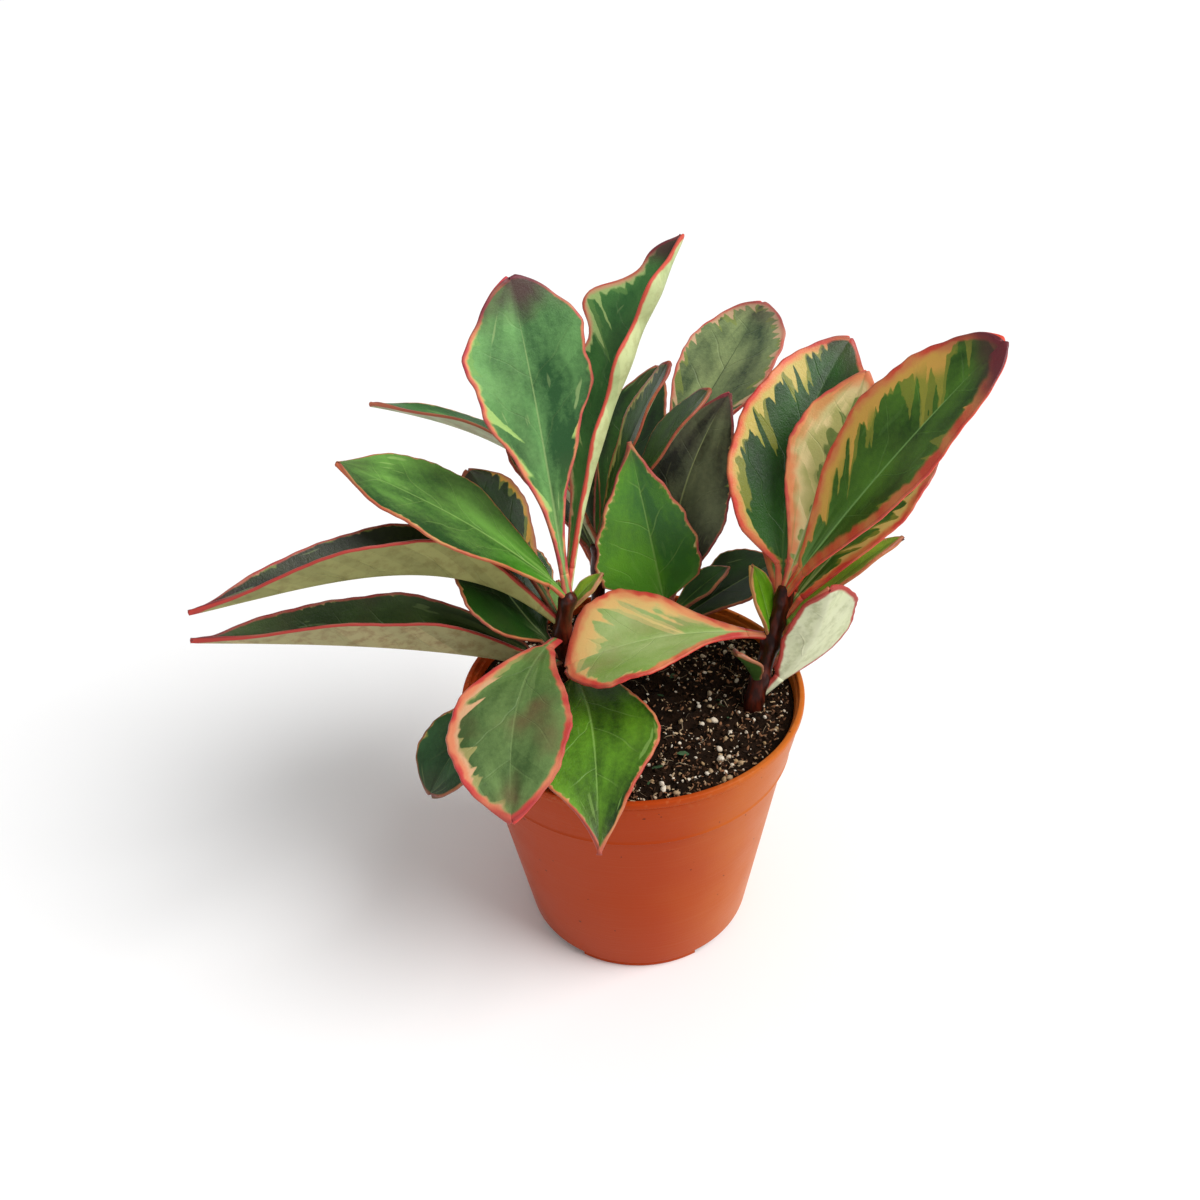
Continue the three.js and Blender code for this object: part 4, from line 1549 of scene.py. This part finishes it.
class Pot:
    """The nursery pot: a tapered wall with a band and a lip, drained by notches at its foot."""

    AROUND = 160

    def __init__(self, form: PotForm) -> None:
        """Keeps the pot's sizes."""
        self.form = form

    def profile(self) -> np.ndarray:
        """The profile from the middle of the underside round to the middle of the floor.

        Returns:
            Rows of radius and height in mm.
        """
        f = self.form
        foot = f.foot_radius - f.foot_inset
        band = f.height - f.band_height
        lip = f.height - f.lip_height
        lip_inside = f.rim_radius - f.lip_width
        underside = [(0, 0, 0), (foot - 4, 0, 0.3), (foot, 0, 0.6), (foot, f.foot_step, 0.4)]
        wall = [
            (f.outer(f.foot_step), f.foot_step + f.foot_inset, 0.4),
            (f.outer(40) - f.band_step * 40 / band, 40, 2.0),
            (f.outer(band) - f.band_step, band - 0.3, 0.25),
        ]
        band_and_bead = [
            (f.outer(band) + 0.1, band + 0.5, 0.3),
            (f.outer(band) - 0.05, band + 1.7, 0.5),
            (f.outer(90) - 0.1, 90, 2.0),
        ]
        groove_and_lip = [
            (f.rim_radius - 0.6, lip - 0.9, 0.3),
            (f.rim_radius - 0.65, lip - 0.3, 0.15),
            (f.rim_radius, lip, 0.25),
            (f.rim_radius, f.height - 0.35, 0.3),
            (f.rim_radius - 0.5, f.height, 0.3),
            (lip_inside, f.height, 0.5),
            (lip_inside - 0.15, lip, 0.3),
        ]
        inside = [
            (f.inner(lip), lip - 0.2, 0.3),
            (f.inner(60), 60, 1.0),
            (f.inner(f.floor), f.floor, 0.5),
            (0, f.floor, 0),
        ]
        return rounded(underside + wall + band_and_bead + groove_and_lip + inside)

    def cut_notch(self, pot: bpy.types.Object, turn: float) -> None:
        """Cuts one drain notch into the corner of wall and floor, at an angle round the pot.

        Args:
            pot: the pot's object.
            turn: the angle in radians.
        """
        bpy.ops.object.select_all(action="DESELECT")
        bpy.ops.mesh.primitive_cube_add(size=1.0)
        cutter = bpy.context.active_object
        cutter.scale = [side * MM for side in self.form.notch_size]
        cutter.rotation_euler = (0, 0, turn)
        reach = self.form.foot_radius * MM
        cutter.location = (reach * math.cos(turn), reach * math.sin(turn), 0)
        cut = pot.modifiers.new("notch", "BOOLEAN")
        cut.operation = "DIFFERENCE"
        cut.solver = "EXACT"
        cut.object = cutter
        select_only(pot)
        bpy.ops.object.modifier_apply(modifier=cut.name)
        bpy.data.objects.remove(cutter)

    def build(self) -> None:
        """Builds the pot's piece."""
        profile = self.profile()
        grid = closed_grid("pot", self.AROUND, len(profile) - 1)
        angle = angles_round(self.AROUND)
        table = np.empty((len(profile), self.AROUND, 3))
        table[..., 0] = profile[:, :1] * np.cos(angle)
        table[..., 1] = profile[:, :1] * np.sin(angle)
        table[..., 2] = profile[:, 1:]
        grid.place(table)
        pot = grid.obj
        for index in range(self.form.notches):
            self.cut_notch(pot, math.pi / 4 + index * 2 * math.pi / self.form.notches)
        pot.data.materials.append(plastic_material(PlasticFinish()))
        shade_smooth(pot, self.form.crisp_degrees)
        hand_in(pot, "pot", "pot")


# -------------------------------------------------------------------- soil


@dataclass(frozen=True)
class SoilForm:
    """Sizes of the potting mix in mm, and the seed of all that lies on it."""

    top: float = 95.2
    swell: float = 1.0
    bump: float = 0.8
    floor: float = 1.9
    seed: int = 7


@dataclass(frozen=True)
class FibreForm:
    """Fibres on the mix. Lengths in mm, with the limits that a fibre's own size is drawn between.

    Attributes:
        count: how many there are.
        length, long_every, long_factor: length, and which of them are longer by which factor.
        bend: how far a fibre turns from end to end, in radians.
        thick, taper: radius at the start, and the share of it that is lost on the way.
        arch, lift: height of the middle above the ends, and of the ends above the mix.
        clear, start_clear: distance from the wall all along, and where a fibre starts.
        sides, steps: corners of the section, and sections from end to end.
    """

    count: int = 120
    length: tuple[float, float] = (3.0, 11.0)
    long_every: int = 12
    long_factor: float = 1.7
    bend: tuple[float, float] = (-0.7, 0.7)
    thick: tuple[float, float] = (0.07, 0.17)
    taper: float = 0.5
    arch: tuple[float, float] = (0.1, 0.6)
    lift: float = 0.25
    clear: float = 2.0
    start_clear: float = 6.0
    sides: int = 5
    steps: int = 7


def soil_material() -> bpy.types.Material:
    """Moist potting mix: near-black peat with brown crumbs.

    Returns:
        The material.
    """
    g = Graph("peat_mix")
    place = g.place_mm()
    fine = g.noise(place, scale=0.9, detail=5.0, roughness=0.7)
    wide = g.noise(place, scale=0.12, detail=2.0)
    tone = g.math("ADD", fine * 0.9 - 0.35, g.attribute("shade") * 0.6, clamp=True)
    colour = g.mix(tone, "#080503", "#3c2615")
    colour = g.mix(wide.step(0.5, 0.75, 0.0, 0.5), colour, "#100a06")
    g.bump(fine * 1.1)
    return g.finish(Base_Color=colour, Roughness=0.9, IOR=1.4, Specular_IOR_Level=0.15)


def chip_material() -> bpy.types.Material:
    """Bark and coir chips: from near black over brown to a few dry pale ones.

    Returns:
        The material.
    """
    g = Graph("bark_chips")
    shade = g.attribute("shade")
    grain = g.noise(g.place_mm(), scale=1.5, detail=3.0)
    colour = g.mix(shade.step(0.05, 0.65), "#26170e", "#8f6446")
    colour = g.mix(shade.step(0.72, 0.96), colour, "#d0b590")
    colour = g.mix(grain.step(0.45, 0.7, 0.0, 0.4), colour, "#24150c")
    return g.finish(Base_Color=colour, Roughness=0.8, IOR=1.4, Specular_IOR_Level=0.25)


def perlite_material() -> bpy.types.Material:
    """Expanded perlite: porous white grains, some stained by the mix.

    Returns:
        The material.
    """
    g = Graph("perlite")
    pores = g.noise(g.place_mm(), scale=1.8, detail=4.0, roughness=0.6)
    colour = g.mix(g.attribute("shade").step(0.2, 1.0), "#e6dac6", "#a98a60")
    colour = g.mix(pores.step(0.55, 0.75, 0.0, 0.6), colour, "#5e4a33")
    g.bump(pores * 0.35)
    return g.finish(Base_Color=colour, Roughness=0.85, IOR=1.45)


def flake_material() -> bpy.types.Material:
    """Bits of green leaf litter on the mix.

    Returns:
        The material.
    """
    g = Graph("green_litter")
    colour = g.mix(g.noise(g.place_mm(), scale=0.9, detail=3.0), "#16301c", "#4a7044")
    return g.finish(Base_Color=colour, Roughness=0.7)


def fibre_material() -> bpy.types.Material:
    """Dry root and coir fibres."""
    g = Graph("coir_fibre")
    return g.finish(Base_Color=g.mix(g.attribute("shade"), "#3b2a1c", "#a58f6e"), Roughness=0.7)


@dataclass(frozen=True)
class GrainKind:
    """One kind of grain on the mix. Lengths in mm.

    Attributes:
        name, material, count: name of its mesh, what it is made of, and how many there are.
        size: limits of half a grain's size, or mean and spread of its logarithm if it is normal.
        sides: factors on the size along three axes, or the two limits that they are drawn between.
        clear: distance that the grains keep from the wall.
        lift: height of their middles above the top; times their size if it is normal and limited.
        power: 0.5 spreads them evenly, and less makes them denser outwards, so that fewer pale grains lie in the
            middle under the leaves: partly painted shade.
        flat: factor on their height.
        rough, dent: shares by which their points and wide dents leave a smooth form.
        detail: subdivisions of the sphere that each starts from.
        normal: whether sizes are drawn from a bell curve of their logarithm.
        limits: limits of sizes so drawn.
        smooth: whether they are shaded smooth.
    """

    name: str
    material: Callable[[], bpy.types.Material]
    count: int
    size: tuple[float, float]
    sides: tuple[float, ...]
    clear: float
    lift: float
    power: float
    flat: float
    rough: float
    dent: float = 0.0
    detail: int = 1
    normal: bool = False
    limits: Optional[tuple[float, float]] = None
    smooth: bool = False


# Pale bits and perlite lie denser towards the rim and sparser in the middle, which stays dark under the leaves:
# partly painted shade
GRAINS: tuple[GrainKind, ...] = (
    GrainKind(
        "crumbs", soil_material, 1300, size=(0.35, 1.25), sides=(0.6, 1.2), clear=2.2, lift=0.1, power=0.5,
        flat=0.7, rough=0.16,
    ),
    GrainKind(
        "chips", chip_material, 2600, size=(0.35, 1.25), sides=(1.0, 0.42, 0.25), clear=1.5, lift=0.4, power=0.36,
        flat=0.75, rough=0.18,
    ),
    GrainKind(
        "bits", perlite_material, 420, size=(-1.15, 0.3), sides=(0.5, 1.4), clear=1.5, lift=0.5, power=0.33,
        flat=0.9, rough=0.2, normal=True,
    ),
    GrainKind(
        "perlite", perlite_material, 400, size=(-0.42, 0.4), sides=(0.65, 1.2), clear=2.6, lift=0.25, power=0.33,
        flat=0.9, rough=0.04, dent=0.11, detail=2, normal=True, limits=(0.25, 1.45), smooth=True,
    ),
    GrainKind(
        "flakes", flake_material, 48, size=(0.7, 2.4), sides=(1.0, 0.6, 0.12), clear=4.0, lift=0.4, power=0.5,
        flat=0.5, rough=0.12, detail=2,
    ),
)


def spins(turn: np.ndarray) -> np.ndarray:
    """Rotation matrices from rows of unit quaternions.

    Args:
        turn: rows of w, x, y, z.

    Returns:
        One matrix for each row.
    """
    w, x, y, z = turn.T
    rows = (
        (1 - 2 * (y * y + z * z), 2 * (x * y - w * z), 2 * (x * z + w * y)),
        (2 * (x * y + w * z), 1 - 2 * (x * x + z * z), 2 * (y * z - w * x)),
        (2 * (x * z - w * y), 2 * (y * z + w * x), 1 - 2 * (x * x + y * y)),
    )
    return np.stack([np.stack(row, axis=1) for row in rows], axis=1)


class Soil:
    """The potting mix: a plug that fills the pot, with loose grains and fibres on its top."""

    AROUND = 180
    TOP_RINGS = 100
    SIDE_RINGS = 8
    PLUG_SHADE = 0.35
    BUMPS = ((0.31, 1.7), (0.37, -0.6), (0.83, -0.71))
    RELIEF = ((0.9, 0.45, 3.0), (0.6, 1.0, 9.0))
    DENT_WAVES = 3
    DENT_SHARPNESS = 1.9
    BOTTOM_RINGS = 3

    def __init__(self, form: SoilForm, pot: PotForm) -> None:
        """Starts the random draws and measures the top.

        Args:
            form: sizes of the mix.
            pot: sizes of the pot that it fills.
        """
        self.form = form
        self.pot = pot
        self.random = np.random.default_rng(form.seed)
        self.radius = pot.mix_radius(form.top)

    def height(self, x: float, y: float) -> float:
        """Height of the plug's top: the CAD's swell and bumps, with crumbs of finer relief.

        Args:
            x: place along x in mm.
            y: place along y in mm.

        Returns:
            The height in mm.
        """
        form = self.form
        inside = 1 - math.hypot(x, y) / self.radius
        swell = form.swell * (1 - (1 - inside) ** 2)
        (ax, px), (ay, py), (bx, by) = self.BUMPS
        wide = math.sin(x * ax + px) * math.cos(y * ay + py) + 0.6 * math.sin(x * bx + y * by)
        lift = form.bump * wide * min(1.0, max(0.0, inside * 3))
        fine = sum(high * noise.noise(Vector((x * scale, y * scale, z))) for high, scale, z in self.RELIEF)
        return form.top + swell + lift + fine * min(1.0, max(0.0, inside * 12))

    def plug(self) -> bpy.types.Object:
        """The plug, from the middle of its underside up the wall to the middle of its top.

        Returns:
            The object.
        """
        form, pot = self.form, self.pot
        bottom = pot.mix_radius(form.floor)
        profile = [(bottom * k / self.BOTTOM_RINGS, form.floor) for k in range(self.BOTTOM_RINGS + 1)]
        for k in range(1, self.SIDE_RINGS + 1):
            z = lerp(form.floor, form.top, k / self.SIDE_RINGS)
            profile.append((pot.mix_radius(z), z))
        for k in range(1, self.TOP_RINGS + 1):
            profile.append((self.radius * (1 - k / self.TOP_RINGS), None))
        grid = closed_grid("soil", self.AROUND, len(profile) - 1)
        table = np.empty((len(profile), self.AROUND, 3))
        for row, (radius, z) in enumerate(profile):
            for column, angle in enumerate(angles_round(self.AROUND)):
                x, y = radius * math.cos(angle), radius * math.sin(angle)
                table[row, column] = (x, y, self.height(x, y) if z is None else z)
        grid.place(table)
        grid.attribute("shade", np.full(table.shape[:2], self.PLUG_SHADE))
        grid.obj.data.materials.append(soil_material())
        shade_smooth(grid.obj)
        return grid.obj

    def scatter(self, clear: float, power: float, lift: np.ndarray) -> np.ndarray:
        """Places over the top, one for each lift; evenly spread at a power of 0.5, denser outwards below.

        Args:
            clear: distance to keep from the wall in mm.
            power: how they are spread.
            lift: height of each over the top in mm.

        Returns:
            Rows of x, y, z in mm.
        """
        radius = (self.radius - clear) * self.random.random(len(lift)) ** power
        angle = self.random.random(len(lift)) * 2 * np.pi
        x, y = radius * np.cos(angle), radius * np.sin(angle)
        z = np.array([self.height(a, b) for a, b in zip(x, y)]) + lift
        return np.stack([x, y, z], axis=1)

    def half_sizes(self, kind: GrainKind) -> tuple[np.ndarray, np.ndarray]:
        """The grains' half sizes along three axes, and their lifts over the top.

        Args:
            kind: the kind of grain.

        Returns:
            A row of three half sizes and one lift for each grain, in mm.
        """
        column, count = (kind.count, 1), kind.count
        if kind.normal:
            size = np.exp(self.random.normal(*kind.size, size=column))
        else:
            size = self.random.uniform(*kind.size, size=column)
        lift = np.full(count, kind.lift)
        if kind.limits:
            size = size.clip(*kind.limits)
            lift = kind.lift * size[:, 0]
        if len(kind.sides) == 3:
            return size * np.array([kind.sides]), lift
        return size * self.random.uniform(*kind.sides, size=(count, 3)), lift

    def grains(self, kind: GrainKind) -> bpy.types.Object:
        """Many small lumps as one mesh.

        Args:
            kind: the kind of grain.

        Returns:
            The object.
        """
        sizes, lift = self.half_sizes(kind)
        places = self.scatter(kind.clear, kind.power, lift)
        bpy.ops.object.select_all(action="DESELECT")
        bpy.ops.mesh.primitive_ico_sphere_add(subdivisions=kind.detail, radius=1.0)
        model = bpy.context.active_object
        unit = points_of(model)
        faces = np.array([list(p.vertices) for p in model.data.polygons])
        bpy.data.objects.remove(model)
        spin = spins(unit_rows(self.random.normal(size=(kind.count, 4))))
        swell = np.zeros((kind.count, len(unit), 1))
        for _ in range(self.DENT_WAVES):
            wave = self.random.normal(size=(kind.count, 3)) * self.DENT_SHARPNESS
            start = self.random.random((kind.count, 1)) * 2 * np.pi
            swell[..., 0] += np.sin(np.einsum("vk,nk->nv", unit, wave) + start)
        ragged = kind.rough * self.random.normal(size=(kind.count, len(unit), 1))
        lumps = unit[None] * (1 + ragged + kind.dent * swell) * sizes[:, None, :]
        lumps = np.einsum("nij,nkj->nki", spin, lumps)
        lumps[..., 2] *= kind.flat
        points = (lumps + places[:, None, :]).reshape(-1, 3)
        shift = (np.arange(kind.count) * len(unit))[:, None, None]
        all_faces = (faces[None] + shift).reshape(-1, faces.shape[1]).tolist()
        shades = np.repeat(self.random.random(kind.count), len(unit))
        grains = loose_mesh(kind.name, points, all_faces, shades)
        grains.data.materials.append(kind.material())
        if kind.smooth:
            shade_smooth(grains)
        return grains

    def fibre(self, form: FibreForm, x: float, y: float, factor: float) -> tuple[np.ndarray, float]:
        """One bent fibre from x, y: the points round each of its sections, and its shade.

        Args:
            form: limits of a fibre's sizes.
            x: start along x in mm.
            y: start along y in mm.
            factor: factor on its length.

        Returns:
            Rows of x, y, z in mm, and the shade.
        """
        draw = self.random
        heading = draw.random() * 2 * math.pi
        length = draw.uniform(*form.length) * factor
        bend, thick = draw.uniform(*form.bend), draw.uniform(*form.thick)
        shade, arch = draw.random(), draw.uniform(*form.arch)
        up = np.array([0, 0, 1])
        points = []
        for step in range(form.steps):
            share = step / (form.steps - 1)
            ahead = (math.cos(heading + bend * share), math.sin(heading + bend * share))
            x, y = x + ahead[0] * length / form.steps, y + ahead[1] * length / form.steps
            keep = min(1.0, (self.radius - form.clear) / max(math.hypot(x, y), 1e-6))
            x, y = x * keep, y * keep
            middle = np.array([x, y, self.height(x, y) + form.lift + arch * math.sin(math.pi * share)])
            over = np.array([-ahead[1], ahead[0], 0])
            size = thick * (1 - form.taper * share)
            for angle in angles_round(form.sides):
                points.append(middle + over * math.cos(angle) * size + up * math.sin(angle) * size)
        return np.array(points), shade

    def fibres(self, form: FibreForm) -> bpy.types.Object:
        """All the fibres as one mesh.

        Args:
            form: their number and the limits of their sizes.

        Returns:
            The object.
        """
        sides, last = form.sides, (form.steps - 1) * form.sides
        quads = [
            (row + a, row + b, row + sides + b, row + sides + a)
            for row in range(0, last, sides)
            for a, b in ((side, (side + 1) % sides) for side in range(sides))
        ]
        caps = [tuple(reversed(range(sides))), tuple(range(last, last + sides))]
        starts = self.scatter(form.start_clear, 0.5, np.zeros(form.count))
        points, faces, shades = [], [], []
        for index, (x, y, _) in enumerate(starts):
            factor = 1.0 if index % form.long_every else form.long_factor
            sections, shade = self.fibre(form, x, y, factor)
            faces += [tuple(index * len(sections) + corner for corner in face) for face in quads + caps]
            points.append(sections)
            shades += [shade] * len(sections)
        fibres = loose_mesh("fibres", np.concatenate(points), faces, np.array(shades))
        fibres.data.materials.append(fibre_material())
        return fibres

    def build(self) -> None:
        """Builds the piece of the potting mix."""
        plug = self.plug()
        join(plug, [self.grains(kind) for kind in GRAINS] + [self.fibres(FibreForm())])
        hand_in(plug, "soil", "soil")


# ------------------------------------------------------------------ studio


@dataclass(frozen=True)
class Studio:
    """Camera, light and floor, as in the photograph. Lengths in mm, angles in degrees."""

    eye: tuple[float, float, float] = (4.3, -283.0, 318.4)
    down: float = 32.86
    turn: float = -2.82
    roll: float = -3.03
    lens: float = 30.3
    sensor: float = 36.0
    nearest: float = 10.0
    sun_from: tuple[float, float] = (-18.0, 46.0)
    sun_size: float = 42.0
    sun_strength: float = 2.9
    sky: float = 0.46
    floor_size: float = 40000.0
    floor_drop: float = 0.05

    def camera(self) -> None:
        """Adds the camera and makes it the scene's."""
        p, y, r = (math.radians(value) for value in (self.down, self.turn, self.roll))
        forward = Vector((math.sin(y) * math.cos(p), math.cos(y) * math.cos(p), -math.sin(p)))
        level = Vector((math.cos(y), -math.sin(y), 0))
        upright = level.cross(forward)
        right = math.cos(r) * level + math.sin(r) * upright
        up = -math.sin(r) * level + math.cos(r) * upright
        bpy.ops.object.camera_add()
        camera = bpy.context.active_object
        camera.name = "camera"
        basis = Matrix((right, up, -forward)).transposed().to_4x4()
        camera.matrix_world = Matrix.Translation(Vector(self.eye) * MM) @ basis
        camera.data.lens = self.lens
        camera.data.sensor_width = self.sensor
        camera.data.clip_start = self.nearest * MM
        bpy.context.scene.camera = camera

    def light(self) -> None:
        """A large soft key from the right and a pale surround."""
        bpy.ops.object.light_add(type="SUN")
        key = bpy.context.active_object
        key.name = "key"
        key.rotation_euler = Vector(direction(*self.sun_from)).to_track_quat("Z", "Y").to_euler()
        key.data.energy = self.sun_strength
        key.data.angle = math.radians(self.sun_size)
        world = bpy.data.worlds.new("surround")
        bpy.context.scene.world = world
        world.use_nodes = True
        background = world.node_tree.nodes["Background"]
        background.inputs["Color"].default_value = (1.0, 1.0, 1.0, 1.0)
        background.inputs["Strength"].default_value = self.sky

    def floor(self) -> None:
        """A plain pale floor."""
        bpy.ops.mesh.primitive_plane_add(size=self.floor_size * MM, location=(0, 0, -self.floor_drop * MM))
        floor = bpy.context.active_object
        floor.name = "floor"
        pale = (0.97, 0.97, 0.97, 1.0)
        floor.data.materials.append(Graph("pale_floor").finish(Base_Color=pale, Roughness=0.9))

    def build(self) -> None:
        """Sets up the studio."""
        bpy.context.scene.view_settings.view_transform = "Standard"
        self.floor()
        self.light()
        self.camera()


def main() -> None:
    """Builds the plant in its pot and the studio round it."""
    logging.basicConfig(level=logging.INFO, format="%(message)s")
    pot = PotForm()
    Pot(pot).build()
    Soil(SoilForm(), pot).build()
    for name, form in STEMS.items():
        Stem(name, form).build()
    Studio().build()


if __name__ == "__main__":
    main()
